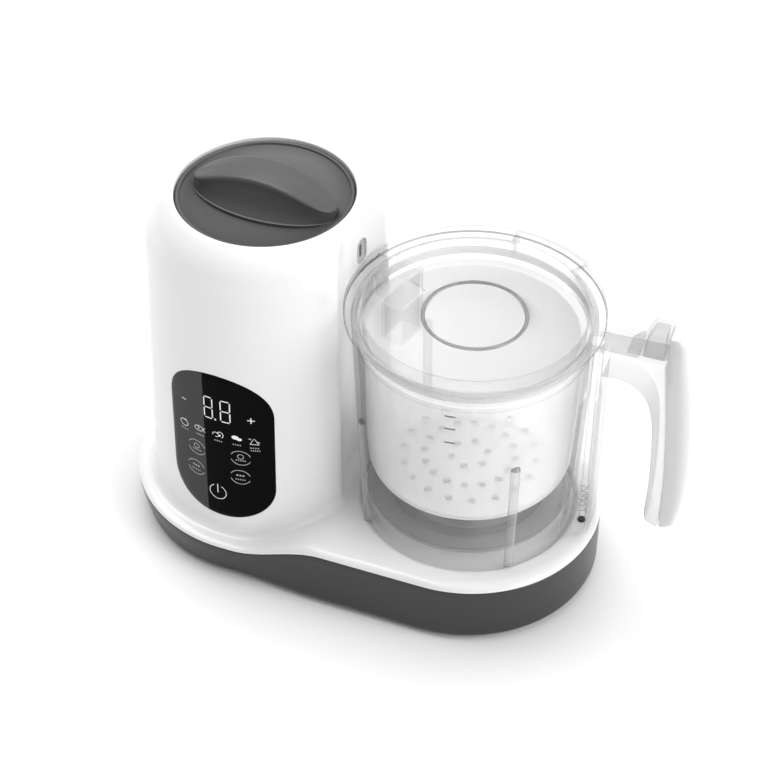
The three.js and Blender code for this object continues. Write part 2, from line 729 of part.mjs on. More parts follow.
function handleShell() {
  const half = HANDLE_WIDTH / 2 + 0.6;
  const outer = sideways(handleShellOutline(), -half, half, 8);
  const skin = new THREE.Shape();
  skin.moveTo(80, 60);
  skin.lineTo(101.5, 60);
  skin.bezierCurveTo(103.5, 84, 101, 116, 97.5, 140);
  skin.lineTo(80, 140);
  return outer.subtract(sideways(skin, -half + 2, half - 2, 6));
}

// ---------- blades ----------
const bladeBush = () => ring(3.1, BORE_R - 0.3, 42.5, BOSS_Z + 0.4, { segments: 20 });
const bladeSeal = () => ring(3.2, 7.5, BOSS_Z + 0.7, BOSS_Z + 1.7, { segments: 20 });
const bladeShaft = () => disc(2.8, 39.3, 56.6, { segments: 16 });
const bladeHub = () =>
  turned([[3, 50.5], [8, 50.5], [8, 50.9], [6.5, 51.6], [3, 51.6]], { segments: 16 });
const bladeNut = () => {
  const hexagon = disc(5.4, 55.6, 56.6, { segments: 6 });
  return hexagon.subtract(disc(3, 50, 60, { segments: 16 }));
};

function blade(low, turn, tipRise) {
  const shape = new THREE.Shape();
  const length = 27;
  shape.moveTo(-length, -1);
  shape.quadraticCurveTo(-14, -7.5, 0, -6.5);
  shape.lineTo(8, -6);
  shape.quadraticCurveTo(20, -3.5, length, 1);
  shape.quadraticCurveTo(14, 7.5, 0, 6.5);
  shape.lineTo(-8, 6);
  shape.quadraticCurveTo(-20, 3.5, -length, -1);
  const plate = raised(shape, low, low + 1.1, 6).subtract(disc(3, low - 1, low + 3, { segments: 16 }));
  const bent = plate.warp((v) => {
    const out = Math.max(0, Math.abs(v[0]) - 9);
    v[2] += tipRise * out;
  });
  return bent.rotate([0, 0, turn]);
}

const drivenCoupling = () => {
  const cup = ring(3, 13, 36.2, 41.9, { segments: 24 });
  return cup.subtract(lobes(8.6, 5, 30, 38.9));
};

// ---------- steaming basket ----------
const BASKET = { floor: 57, rim: 138.8, wall: 1.6, r: 50.2, floorR: 41 };
function steamBasket() {
  const { floor, rim, wall, r, floorR } = BASKET;
  const profile = [
    [0, floor], [floorR, floor], [r - 3.5, floor + 6], [r - 0.6, floor + 16], [r, LEDGE_Z + GAP],
    [MOUTH_INNER_R - 0.5, LEDGE_Z + GAP], [MOUTH_INNER_R - 0.5, rim],
    [r - wall, rim], [r - wall - 0.5, floor + 16.6], [r - 4.8, floor + 7.2],
    [floorR - 0.6, floor + wall + 0.2], [0, floor + wall],
  ];
  let basket = turned(profile, jugPlace);
  const rows = [[9, 6], [22, 16], [32, 18]];
  for (const [radius, count] of rows)
    for (let i = 0; i < count; i++) {
      const angle = (2 * Math.PI * (i + 0.5)) / count;
      const place = { x: radius * Math.cos(angle), y: radius * Math.sin(angle), segments: 5 };
      basket = basket.subtract(disc(1.9, floor - 2, floor + 5, place));
    }
  return basket;
}

// ---------- lid ----------
const LID = { skirt: 53.6, inner: 51.4, plate: 141, bossR: 24.8, bossFoot: 32, bossZ: 148.6 };
const SLOT = { turn: 168, width: 14 };
function lid() {
  const { skirt: skirtR, inner, plate, bossR, bossFoot, bossZ } = LID;
  const under = plate - 1.8;
  const grooveTop = 147.2;
  const profile = [
    [0, bossZ - 3], [bossR - 2, bossZ - 3], [bossR - 2, bossZ - 0.6], [bossR, bossZ],
    [bossFoot, plate], [inner, plate], [inner, LID_TOP_Z - 1.2], [inner + 1.2, LID_TOP_Z],
    [LID_R - 0.6, LID_TOP_Z], [LID_R, LID_TOP_Z - 1], [LID_R, LID_FLANGE_Z], [skirtR, LID_FLANGE_Z],
    [skirtR, grooveTop], [skirtR - 0.9, grooveTop], [skirtR - 0.9, under],
    [bossFoot - 1.4, under], [bossR - 4, bossZ - 4.8], [0, bossZ - 4.8],
  ];
  const half = 8;
  const tongue = box([57, -half, 151.6], [78, half, 154.2]);
  const nub = box([77, -6, 151.6], [90, 6, 165.8]).subtract(box([78.8, -4.4, 150], [88.4, 4.4, 164.2]));
  const tab = arcSlice(59, 67.4, 54, 96, 151.8, LID_TOP_Z - 0.2);
  const disk = joined(turned(profile, jugPlace), tongue, nub, tab, ductOutside());
  return disk.subtract(joined(ductInside(), steamSlot()));
}

const slotAngle = THREE.MathUtils.degToRad(SLOT.turn) - HANDLE_TURN;
// A block that points along the steam slot's direction, between two distances from the jug's axis.
function slotBlock(near, far, width, low, high) {
  const block = new THREE.BoxGeometry(far - near, width, high - low);
  block.translate((near + far) / 2, 0, (low + high) / 2);
  return solid(block.rotateZ(slotAngle));
}

const steamSlot = () => slotBlock(49, 62, SLOT.width, 150.4, 152.4);

// Covered duct that leads the steam from the slot inwards and down into the basket.
const DUCT = { near: 34.4, chute: 46.4, far: 51.6, width: 18, low: 118, top: 153.8, wall: 1.4 };
function ductOutside() {
  const { near, chute, far, width, low, top } = DUCT;
  return joined(
    slotBlock(near, chute, width, low, LID.plate),
    slotBlock(near, far, width, LID.plate - 1.7, top),
  );
}

function ductInside() {
  const { near, chute, far, width, low, top, wall } = DUCT;
  return joined(
    slotBlock(near + wall, chute - wall, width - 2 * wall, low - 1, LID.plate + 1),
    slotBlock(near + wall, far - wall, width - 2 * wall, LID.plate, top - wall),
  );
}

const lidSeal = () =>
  ring(LID.skirt - 0.6, MOUTH_INNER_R - 0.4, 142, 146.4, jugPlace);

// ---------- tank cap ----------
function capBody() {
  const under = CAP_SEAT_Z + 3.2;
  const plugTop = [
    [26.5, under], [26.5, 171.4], [27.4, 171.4], [27.4, 169.6], [23.5, 169.6], [23.5, under],
  ];
  const profile = [
    [0, 181.6], [22, 181.2], [34, 182.4], [38.6, CAP_Z - 0.8], [CAP_R - 0.8, CAP_Z],
    [CAP_R, CAP_Z - 0.8], [CAP_R, CAP_SEAT_Z + 0.8], [CAP_R - 2, CAP_SEAT_Z + 0.8],
    [CAP_R - 2.4, under], ...plugTop, [0, under],
  ];
  const dish = turned(profile, { x: TOWER_X, segments: 28 });
  return joined(dish, capGrip());
}

// Leaf-shaped grip with an arched top, along X across the cap.
function capGrip() {
  const halfLength = 38;
  const halfWidth = 11.5;
  const bow = (halfLength ** 2 + halfWidth ** 2) / (2 * halfWidth);
  const side = Math.asin(halfLength / bow);
  const leaf = new THREE.Shape();
  leaf.absarc(TOWER_X, halfWidth - bow, bow, Math.PI / 2 - side, Math.PI / 2 + side);
  leaf.absarc(TOWER_X, bow - halfWidth, bow, 1.5 * Math.PI - side, 1.5 * Math.PI + side);
  const top = 199;
  const arch = new THREE.Shape();
  arch.moveTo(TOWER_X - 40, 180);
  arch.lineTo(TOWER_X + 40, 180);
  arch.lineTo(TOWER_X + 40, CAP_Z - 1);
  arch.quadraticCurveTo(TOWER_X, 2 * top - CAP_Z + 1, TOWER_X - 40, CAP_Z - 1);
  return raised(leaf, 180.5, top + 2, 7).intersect(sideways(arch, -30, 30, 10));
}

const capSeal = () => ring(26.9, TANK.neck - 2.4, 171.8, 175, { x: TOWER_X, segments: 28 });

// ---------- assembly ----------
add("upper_housing", upperHousing(), WHITE);
add("base_skirt", skirt(), GREY);
add("bottom_plate", bottomPlate(), GREY_PLASTIC);
FEET.forEach((place, i) => add(`foot_${i + 1}`, foot(place), RUBBER));
BOSSES.forEach((place, i) => add(`base_screw_${i + 1}`, baseScrew(place), STEEL));
add("cord_gland", cordGland(), RUBBER);

add("control_panel", controlPanel(), BLACK);
add("display_board", displayBoard(), BOARD);
add("power_board", powerBoard(), BOARD);

add("motor_housing", motorHousing(), STEEL);
add("motor_bracket", motorBracket(), STEEL);
DAMPERS.forEach((place, i) => add(`motor_damper_${i + 1}`, damper(place), RUBBER));
add("motor_rotor", motorRotor(), STEEL);
add("cooling_fan", coolingFan(), GREY_PLASTIC);
add("drive_belt", belt(), RUBBER);
add("spindle", spindle(), STEEL);
add("bearing_housing", bearingHousing(), GREY_PLASTIC);
add("drive_coupling", driveCoupling(), GREY_PLASTIC, jugGroup);

add("water_tank", waterTank(), FROSTED);
add("boiler", boiler(), ALUMINIUM);
add("boiler_stand", boilerStand(), GREY_PLASTIC);
add("water_hose", waterHose(), SILICONE);
add("steam_tube", steamTube(), SILICONE);
add("steam_nozzle", steamNozzle(), SILICONE);
add("thermostat", thermostat(), GREY_PLASTIC);

add("switch_body", switchBody(), GREY_PLASTIC, jugGroup);
add("switch_plunger", switchPlunger(), RUBBER, jugGroup);

add("jug_body", jugBody(), CLEAR, jugGroup);
add("handle_shell", handleShell(), WHITE, jugGroup);
add("interlock_rod", interlockRod(), CLEAR, jugGroup);
add("interlock_spring", interlockSpring(), STEEL, jugGroup);
add("blade_bush", bladeBush(), STEEL, jugGroup);
add("blade_seal", bladeSeal(), SILICONE, jugGroup);
add("blade_shaft", bladeShaft(), STEEL, jugGroup);
add("blade_hub", bladeHub(), GREY_PLASTIC, jugGroup);
add("blade_lower", blade(52.5, 0, -0.06), STEEL, jugGroup);
add("blade_upper", blade(53.9, 90, 0.05), STEEL, jugGroup);
add("blade_nut", bladeNut(), STEEL, jugGroup);
add("driven_coupling", drivenCoupling(), GREY_PLASTIC, jugGroup);

add("steam_basket", steamBasket(), FROSTED, jugGroup);
add("lid_seal", lidSeal(), SILICONE, jugGroup);
add("lid", lid(), CLEAR, jugGroup);

add("cap_body", capBody(), GREY);
add("cap_seal", capSeal(), SILICONE);

export default product;
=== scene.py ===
import json
import math

import bmesh
import bpy
import numpy as np
from mathutils import Matrix, Vector

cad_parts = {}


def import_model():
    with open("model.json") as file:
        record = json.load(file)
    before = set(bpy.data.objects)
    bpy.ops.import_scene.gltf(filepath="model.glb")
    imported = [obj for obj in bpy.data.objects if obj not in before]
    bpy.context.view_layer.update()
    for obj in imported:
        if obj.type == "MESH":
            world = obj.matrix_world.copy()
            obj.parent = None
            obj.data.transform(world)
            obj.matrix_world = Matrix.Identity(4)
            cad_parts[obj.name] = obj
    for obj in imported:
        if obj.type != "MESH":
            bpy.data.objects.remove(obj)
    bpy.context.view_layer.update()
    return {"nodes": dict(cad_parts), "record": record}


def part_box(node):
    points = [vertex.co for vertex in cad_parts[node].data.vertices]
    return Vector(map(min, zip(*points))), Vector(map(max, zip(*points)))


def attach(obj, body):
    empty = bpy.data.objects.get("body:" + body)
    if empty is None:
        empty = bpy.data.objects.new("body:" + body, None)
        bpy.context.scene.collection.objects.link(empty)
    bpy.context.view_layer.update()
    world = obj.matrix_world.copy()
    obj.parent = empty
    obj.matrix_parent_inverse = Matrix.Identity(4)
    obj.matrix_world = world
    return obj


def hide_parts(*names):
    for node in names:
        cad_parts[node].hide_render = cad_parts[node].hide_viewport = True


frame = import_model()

MM = 0.001  # every size below is in millimetres and becomes metres when a mesh is made


# ---------- places taken from the frame ----------
def low_high(node):
    low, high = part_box(node)
    return low / MM, high / MM


def middle(node):
    low, high = low_high(node)
    return (low + high) / 2


TOWER_X = middle("water_tank").x
JUG_X = middle("steam_basket").x
AXES_APART = JUG_X - TOWER_X
HANDLE_TURN = math.radians(4)  # the handle points this far off the +X axis
FOOT = 2  # the skirt stands this far above the table
WALL = 2.5
AXIS = 0.001  # profiles that reach their axis stop just short of it
TOWER_LOBE = 70
JUG_LOBE = 65


# ---------- small tools ----------
def smooth(t):
    t = np.clip(t, 0, 1)
    return t * t * (3 - 2 * t)


def lesser(a, b, width):
    """The smaller of two values, blended over a width where they cross."""
    return (a + b - np.sqrt((a - b) ** 2 + width**2)) / 2


def arc(centre, radius, start, end, steps):
    """Points [x, z] on an arc, angles in degrees. radius is one number or (rx, rz)."""
    rx, rz = radius if isinstance(radius, tuple) else (radius, radius)
    angles = np.radians(np.linspace(start, end, steps + 1))
    return [[centre[0] + rx * math.cos(a), centre[1] + rz * math.sin(a)] for a in angles]


def bezier(a, b, c, d, steps):
    """Points along a cubic curve, without its last one."""
    points = []
    for t in np.linspace(0, 1, steps, endpoint=False):
        points.append([(1 - t) ** 3 * p + 3 * t * (1 - t) ** 2 * q + 3 * t * t * (1 - t) * r + t**3 * s
                       for p, q, r, s in zip(a, b, c, d)])
    return points


def rounded(points, radius, steps=4):
    """A polygon with its corners rounded. radius is one number or one per corner."""
    count = len(points)
    radii = radius if isinstance(radius, (list, tuple)) else [radius] * count
    out = []
    for i, corner in enumerate(points):
        here = Vector(corner)
        before = Vector(points[i - 1]) - here
        after = Vector(points[(i + 1) % count]) - here
        half = before.angle(after) / 2
        back = min(radii[i] / max(math.tan(half), 1e-3), 0.48 * before.length, 0.48 * after.length)
        if back < 1e-3 or half > math.radians(89):
            out.append(list(here))
            continue
        a = here + before.normalized() * back
        b = here + after.normalized() * back
        for k in range(steps + 1):
            t = k / steps
            out.append(list(a * (1 - t) ** 2 + here * 2 * t * (1 - t) + b * t**2))
    return out


def make(name, points, faces, looks, body, replaces=(), slot=None, sharp=35, place=None):
    """A mesh piece from points in millimetres, smooth except at edges sharper than the given angle."""
    mesh = bpy.data.meshes.new(name)
    points = np.asarray(points, float)
    if place is not None:
        points = points @ np.array(place.to_3x3()).T + np.array(place.translation)
    mesh.from_pydata((points * MM).tolist(), [], [list(map(int, f)) for f in faces])
    tidy(mesh, sharp)
    piece = bpy.data.objects.new(name, mesh)
    bpy.context.scene.collection.objects.link(piece)
    for look in looks if isinstance(looks, (list, tuple)) else [looks]:
        mesh.materials.append(look)
    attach(piece, body)
    if replaces:
        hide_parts(*replaces)
    return piece


def tidy(mesh, sharp):
    """Merges doubled points, turns faces outwards and marks the sharp edges."""
    work = bmesh.new()
    work.from_mesh(mesh)
    bmesh.ops.remove_doubles(work, verts=work.verts, dist=2e-6)
    bmesh.ops.recalc_face_normals(work, faces=work.faces)
    limit = math.radians(sharp)
    for face in work.faces:
        face.smooth = True
    for edge in work.edges:
        edge.smooth = not (len(edge.link_faces) == 2 and edge.calc_face_angle(0) > limit)
    work.to_mesh(mesh)
    work.free()


def sections(rings, closed=True):
    """Faces between successive rings of points; closed joins the last ring to the first."""
    rings = np.asarray(rings, float)
    count, size = rings.shape[:2]
    faces = []
    for i in range(count if closed else count - 1):
        here, there = i * size, ((i + 1) % count) * size
        for j in range(size):
            k = (j + 1) % size
            faces.append([here + j, here + k, there + k, there + j])
    return rings.reshape(-1, 3), faces


def capped(rings):
    """The same, as a solid with a face over the first ring and over the last."""
    points, faces = sections(rings, closed=False)
    size = len(rings[0])
    faces.append(list(range(size))[::-1])
    faces.append(list(range(len(points) - size, len(points))))
    return points, faces


def turned(profile, segments, centre=(0, 0)):
    """Points and faces of a closed [r, z] profile turned about a vertical axis."""
    angles = np.linspace(0, 2 * math.pi, segments, endpoint=False)
    r, z = np.asarray(profile, float).T
    rings = np.stack(
        [
            centre[0] + np.cos(angles)[:, None] * r,
            centre[1] + np.sin(angles)[:, None] * r,
            np.broadcast_to(z, (segments, len(z))),
        ],
        axis=2,
    )
    return sections(rings)


def prism(outline, low, high):
    """An [x, y] outline made solid between two heights."""
    rings = [[[x, y, z] for x, y in outline] for z in (low, high)]
    return capped(rings)


def cylinder(r, low, high, centre=(0, 0), sides=28):
    return turned([[AXIS, low], [r, low], [r, high], [AXIS, high]], sides, centre)


def slab(outline, low, high, edge=0.6, steps=3):
    """A plate with rounded edges from a star-shaped [x, y] outline, between two heights."""
    outline = np.asarray(outline, float)
    centre = outline.mean(axis=0)
    size = np.linalg.norm(outline - centre, axis=1).mean()
    rings = []

    def ring(shrink, z):
        xy = centre + (outline - centre) * (1 - shrink / size)
        rings.append(np.column_stack([xy, np.full(len(xy), z)]))

    ring(size * 0.999, low)
    for k in range(steps + 1):
        a = math.pi / 2 * k / steps
        ring(edge * (1 - math.sin(a)), low + edge * (1 - math.cos(a)))
    for k in range(steps + 1):
        a = math.pi / 2 * k / steps
        ring(edge * (1 - math.cos(a)), high - edge * (1 - math.sin(a)))
    ring(size * 0.999, high)
    return capped(rings)


def upright(outline, back, front, edge=0.6, steps=3):
    """The same plate standing up: an [x, z] outline between two y values."""
    points, faces = slab(outline, -front, -back, edge, steps)
    return points[:, [0, 2, 1]] * [1, -1, 1], faces


def joined(*parts):
    """Several (points, faces) as one."""
    points, faces, count = [], [], 0
    for some, these in parts:
        points.append(np.asarray(some, float))
        faces += [[i + count for i in face] for face in these]
        count += len(some)
    return np.vstack(points), faces


def paint(piece, index, test):
    """Gives the faces whose centre, in millimetres, passes the test the material of that index."""
    for face in piece.data.polygons:
        if test(*(face.center / MM)):
            face.material_index = index


def combine(piece, tool, operation, sharp):
    """Applies a boolean with another object to the piece's own mesh, then removes that object."""
    change = piece.modifiers.new("change", "BOOLEAN")
    change.operation = operation
    change.object = tool
    change.solver = "EXACT"
    bpy.context.view_layer.update()
    graph = bpy.context.evaluated_depsgraph_get()
    result = bpy.data.meshes.new_from_object(piece.evaluated_get(graph))
    piece.modifiers.clear()
    piece.data = result
    tidy(result, sharp)
    bpy.data.objects.remove(tool)


def boolean(piece, points, faces, operation="DIFFERENCE", place=None, sharp=35):
    """Cuts or joins a solid into a piece, and applies the result to its mesh."""
    mesh = bpy.data.meshes.new("cutter")
    points = np.asarray(points, float)
    if place is not None:
        points = points @ np.array(place.to_3x3()).T + np.array(place.translation)
    mesh.from_pydata((points * MM).tolist(), [], [list(map(int, f)) for f in faces])
    tidy(mesh, sharp)
    tool = bpy.data.objects.new("cutter", mesh)
    bpy.context.scene.collection.objects.link(tool)
    combine(piece, tool, operation, sharp)
    bpy.data.meshes.remove(mesh)


JUG_PLACE = Matrix.Translation((JUG_X, 0, 0)) @ Matrix.Rotation(HANDLE_TURN, 4, "Z")


# ---------- materials ----------
def node(tree, kind, place, **values):
    made = tree.nodes.new(kind)
    made.location = place
    for key, value in values.items():
        if hasattr(made, key):
            setattr(made, key, value)
    return made


def material(name, colour, roughness, metallic=0.0, **sockets):
    """A principled material. colour is linear; sockets are further values on the shader."""
    made = bpy.data.materials.new(name)
    made.use_nodes = True
    shader = made.node_tree.nodes["Principled BSDF"]
    shader.inputs["Base Color"].default_value = (*colour, 1)
    shader.inputs["Roughness"].default_value = roughness
    shader.inputs["Metallic"].default_value = metallic
    for key, value in sockets.items():
        shader.inputs[key.replace("_", " ")].default_value = value
    return made


def add_grain(made, scale, bump, rough_low, rough_high, distance=0.0001, stretch=(1, 1, 1), shade=0.0):
    """Fine moulded or brushed texture: noise drives the roughness, a small bump and a little shade."""
    tree = made.node_tree
    shader = tree.nodes["Principled BSDF"]
    place = node(tree, "ShaderNodeTexCoord", (-1200, 0))
    sized = node(tree, "ShaderNodeMapping", (-1000, 0))
    sized.inputs["Scale"].default_value = stretch
    noise = node(tree, "ShaderNodeTexNoise", (-800, 0))
    noise.inputs["Scale"].default_value = scale
    noise.inputs["Detail"].default_value = 6
    rough = node(tree, "ShaderNodeMapRange", (-500, 100))
    rough.inputs["To Min"].default_value = rough_low
    rough.inputs["To Max"].default_value = rough_high
    raised = node(tree, "ShaderNodeBump", (-500, -200))
    raised.inputs["Strength"].default_value = bump
    raised.inputs["Distance"].default_value = distance
    link = tree.links.new
    link(place.outputs["Object"], sized.inputs["Vector"])
    link(sized.outputs["Vector"], noise.inputs["Vector"])
    link(noise.outputs["Fac"], rough.inputs["Value"])
    link(rough.outputs["Result"], shader.inputs["Roughness"])
    link(noise.outputs["Fac"], raised.inputs["Height"])
    link(raised.outputs["Normal"], shader.inputs["Normal"])
    if shade:
        wide = node(tree, "ShaderNodeTexNoise", (-800, 400))
        wide.inputs["Scale"].default_value = scale * 0.03
        base = shader.inputs["Base Color"].default_value[:]
        tint = node(tree, "ShaderNodeMix", (-300, 400), data_type="RGBA")
        tint.inputs["A"].default_value = tuple(c * (1 - shade) for c in base[:3]) + (1,)
        tint.inputs["B"].default_value = tuple(min(1, c * (1 + shade)) for c in base[:3]) + (1,)
        link(place.outputs["Object"], wide.inputs["Vector"])
        link(wide.outputs["Fac"], tint.inputs["Factor"])
        link(tint.outputs["Result"], shader.inputs["Base Color"])
    return made


def clear_material(name, colour, facing, edge, roughness, power=3.5):
    """Clear plastic seen as thin walls: nearly see-through from the front, greyer at a slant."""
    made = material(name, colour, roughness)
    tree = made.node_tree
    shader = tree.nodes["Principled BSDF"]
    slant = node(tree, "ShaderNodeLayerWeight", (-900, -200))
    slant.inputs["Blend"].default_value = 0.5
    bent = node(tree, "ShaderNodeMath", (-700, -200), operation="POWER")
    bent.inputs[1].default_value = power
    amount = node(tree, "ShaderNodeMapRange", (-500, -200))
    amount.inputs["To Min"].default_value = facing
    amount.inputs["To Max"].default_value = edge
    link = tree.links.new
    link(slant.outputs["Facing"], bent.inputs[0])
    link(bent.outputs["Value"], amount.inputs["Value"])
    link(amount.outputs["Result"], shader.inputs["Alpha"])
    noise = node(tree, "ShaderNodeTexNoise", (-900, 200))
    noise.inputs["Scale"].default_value = 60
    rough = node(tree, "ShaderNodeMapRange", (-500, 200))
    rough.inputs["To Min"].default_value = roughness * 0.7
    rough.inputs["To Max"].default_value = roughness * 1.4
    link(noise.outputs["Fac"], rough.inputs["Value"])
    link(rough.outputs["Result"], shader.inputs["Roughness"])
    return made


WHITE = add_grain(
    material("white_plastic", (0.79, 0.79, 0.787), 0.22, Coat_Weight=0.25, Coat_Roughness=0.08),
    900, 0.04, 0.2, 0.28, shade=0.01)
# painted shade: the housing's white plastic drawn darker on the grip so its side face looks shaded
SHADED_GRIP_WHITE = add_grain(
    material("handle_white_painted_shade", (0.66, 0.66, 0.657), 0.25), 900, 0.04, 0.22, 0.3, shade=0.01)
DARK = add_grain(
    material("dark_grey_plastic", (0.024, 0.024, 0.025), 0.34), 1400, 0.08, 0.28, 0.38, shade=0.05)
CAP_GREY = add_grain(
    material("cap_grey_plastic", (0.062, 0.062, 0.064), 0.42), 1600, 0.15, 0.38, 0.5, shade=0.04)
UNDER_GREY = add_grain(material("under_plate_plastic", (0.1, 0.1, 0.102), 0.5), 1200, 0.3, 0.45, 0.6)
RUBBER = add_grain(material("rubber", (0.02, 0.02, 0.021), 0.75), 2200, 0.4, 0.65, 0.85)
STEEL = add_grain(
    material("brushed_steel", (0.5, 0.51, 0.52), 0.28, 1.0), 500, 0.15, 0.2, 0.38, stretch=(1, 1, 30))
ALUMINIUM = add_grain(material("cast_aluminium", (0.5, 0.51, 0.52), 0.45, 1.0), 700, 0.5, 0.4, 0.6)
BOARD = add_grain(material("circuit_board", (0.02, 0.09, 0.04), 0.4), 400, 0.2, 0.35, 0.5, shade=0.3)
NYLON = add_grain(material("grey_nylon", (0.2, 0.205, 0.21), 0.5), 1200, 0.2, 0.45, 0.6)
INK = add_grain(material("white_print", (0.7, 0.7, 0.7), 0.4, Emission_Strength=0.15,
                         Emission_Color=(1, 1, 1, 1)), 3000, 0.05, 0.35, 0.45)
INK_DIM = add_grain(material("grey_print", (0.4, 0.4, 0.4), 0.4), 3000, 0.05, 0.35, 0.45)
SCALE_INK = add_grain(material("scale_print", (0.14, 0.14, 0.14), 0.5), 3000, 0.05, 0.45, 0.55)
CLEAR = clear_material("clear_plastic", (0.13, 0.133, 0.136), 0.015, 0.8, 0.06)
CLEAR_LID = clear_material("clear_lid_plastic", (0.13, 0.133, 0.136), 0.015, 0.8, 0.05)
CLEAR_THICK = clear_material("clear_handle_plastic", (0.38, 0.382, 0.385), 0.16, 0.85, 0.08, power=2)
# painted shade: greyer rounded edges standing in for refraction in the clear plastic
CLEAR_EDGE_SHADE = clear_material("clear_edge_painted_shade", (0.42, 0.422, 0.425), 0.3, 0.8, 0.06, power=1.5)
# painted shade: dark thin lines standing in for refraction at corners of the clear plastic
DARK_LINE_SHADE = clear_material("clear_corner_painted_shade_line", (0.07, 0.071, 0.072), 0.6, 0.9, 0.1, power=1.5)
# the jug's floor drawn darker than its clear walls
JUG_FLOOR = clear_material("darker_jug_floor", (0.2, 0.2, 0.205), 0.4, 0.9, 0.1, power=2)
FROSTED = clear_material("frosted_plastic", (0.95, 0.952, 0.953), 0.32, 0.85, 0.35, power=1.6)
# painted shade on the walls of the basket's holes
HOLE_SHADE = clear_material("frosted_hole_painted_shade", (0.3, 0.302, 0.305), 0.7, 0.95, 0.35, power=1.4)
SILICONE = clear_material("silicone", (0.72, 0.72, 0.72), 0.35, 0.8, 0.4, power=2)


PANEL_REFLECTION_X = -6.85  # the painted reflection band down the panel's left side ends here, from the tower's axis


def panel_material():
    """Black acrylic with a painted reflection: a lighter band down its left side, parted by a straight
    upright line.
    """
    made = material("black_panel_acrylic", (0.0035, 0.0035, 0.004), 0.06)
    tree = made.node_tree
    shader = tree.nodes["Principled BSDF"]
    place = node(tree, "ShaderNodeTexCoord", (-1000, 200))
    split = node(tree, "ShaderNodeSeparateXYZ", (-800, 200))
    left = node(tree, "ShaderNodeMapRange", (-600, 200), interpolation_type="SMOOTHSTEP")
    left.inputs["From Min"].default_value = (TOWER_X + PANEL_REFLECTION_X - 0.3) * MM
    left.inputs["From Max"].default_value = (TOWER_X + PANEL_REFLECTION_X + 0.3) * MM
    mixed = node(tree, "ShaderNodeMix", (-300, 200), data_type="RGBA")
    # A is the painted reflection band's colour, B is the panel's own black
    mixed.inputs["A"].default_value = (0.07, 0.07, 0.071, 1)
    mixed.inputs["B"].default_value = (0.0035, 0.0035, 0.004, 1)
    link = tree.links.new
    link(place.outputs["Object"], split.inputs["Vector"])
    link(split.outputs["X"], left.inputs["Value"])
    link(left.outputs["Result"], mixed.inputs["Factor"])
    link(mixed.outputs["Result"], shader.inputs["Base Color"])
    shader.inputs["IOR"].default_value = 1.08
    return made


PANEL_BLACK = panel_material()

SLOT_LOOKS = {
    "white_housing": WHITE, "dark_grey": DARK, "grey_cap": CAP_GREY, "under_plate": UNDER_GREY,
    "black_panel": PANEL_BLACK, "clear": CLEAR, "frosted": FROSTED, "steel": STEEL,
    "aluminium": ALUMINIUM, "rubber": RUBBER, "silicone": SILICONE, "circuit_board": BOARD,
    "inner_plastic": NYLON,
}
for part in frame["record"]["subparts"]:
    held = frame["nodes"][part["node"]]
    held.data.materials.clear()
    held.data.materials.append(SLOT_LOOKS[part["material_slot"]])


# ---------- housing: tower, shoulder, hollowed side and deck in one skin ----------
# A pair is a height at the tower and at the jug; between() gives the height along the wave.
SEAM = (20.3, 32.8)  # underside of the white rim round the tower and round the jug
DECK = (22.5, 36)  # top of the deck at the same two places
WAVE = (-62, -15)  # the deck climbs between these two X
LIP = (44.1, 187.3)  # radius and height of the tower's top edge
SHOULDER = (57, 164)  # radius and height where the tower starts to round over
TOWER_FOOT_R = 61
CAP_WELL_R = 41.9  # the round well that the cap sinks into
CAP_SEAT_Z = 177.5
SCOOP_R = 61.2  # radius of the hollow that the jug stands in
SEAT_Z = 34.6  # the jug stands at this height
EDGE_BLEND = 3  # rounds the upright edges where the hollow meets the tower's wall
DECK_SKIN = 3.4  # thickness of the deck
SKIRT_LEAN = 2.6  # the grey band leans in this far under the tower


def climb(x):
    """How far up the wave between tower and jug a place is, from 0 to 1."""
    return smooth((x - WAVE[0]) / (WAVE[1] - WAVE[0]))


def between(pair, x):
    return pair[0] + (pair[1] - pair[0]) * climb(x)


def tower_radius(z):
    share = (z - DECK[0]) / (SHOULDER[1] - DECK[0])
    return TOWER_FOOT_R + (SHOULDER[0] - TOWER_FOOT_R) * share


def outline_reach(angle, tower_lobe=TOWER_LOBE, jug_lobe=JUG_LOBE):
    """Distance from the tower's axis to the base outline, two lobes joined by tangents."""
    lean = math.asin((tower_lobe - jug_lobe) / AXES_APART)
    side = math.pi / 2 - lean
    turn = abs((angle + math.pi) % (2 * math.pi) - math.pi)
    touch = math.atan2(jug_lobe * math.sin(side), AXES_APART + jug_lobe * math.cos(side))
    if turn >= side:
        return tower_lobe
    if turn >= touch:
        return tower_lobe / math.cos(side - turn)
    return AXES_APART * math.cos(turn) + math.sqrt(jug_lobe**2 - (AXES_APART * math.sin(turn)) ** 2)


def scoop_reach(angle):
    """Distance from the tower's axis to the hollow round the jug."""
    inside = SCOOP_R**2 - (AXES_APART * math.sin(angle)) ** 2
    far = math.sqrt(AXES_APART**2 - SCOOP_R**2)
    if inside <= 0 or math.cos(angle) < 0:
        return far
    return AXES_APART * math.cos(angle) - math.sqrt(inside)


def shoulder_profile():
    """[r, z] from the rim of the cap well over the lip and shoulder, down to the straight wall."""
    well = [[CAP_WELL_R, CAP_SEAT_Z], [CAP_WELL_R, 180], [CAP_WELL_R, 183], [CAP_WELL_R, 185.6]]
    lip = arc((CAP_WELL_R + 0.6, 186.7), 0.6, 180, 90, 5)
    deep = 26
    rise = 27
    start = math.degrees(math.acos((LIP[0] - (SHOULDER[0] - deep)) / deep))
    over = arc((SHOULDER[0] - deep, SHOULDER[1]), (deep, rise), start, 0, 26)
    return well + lip + over


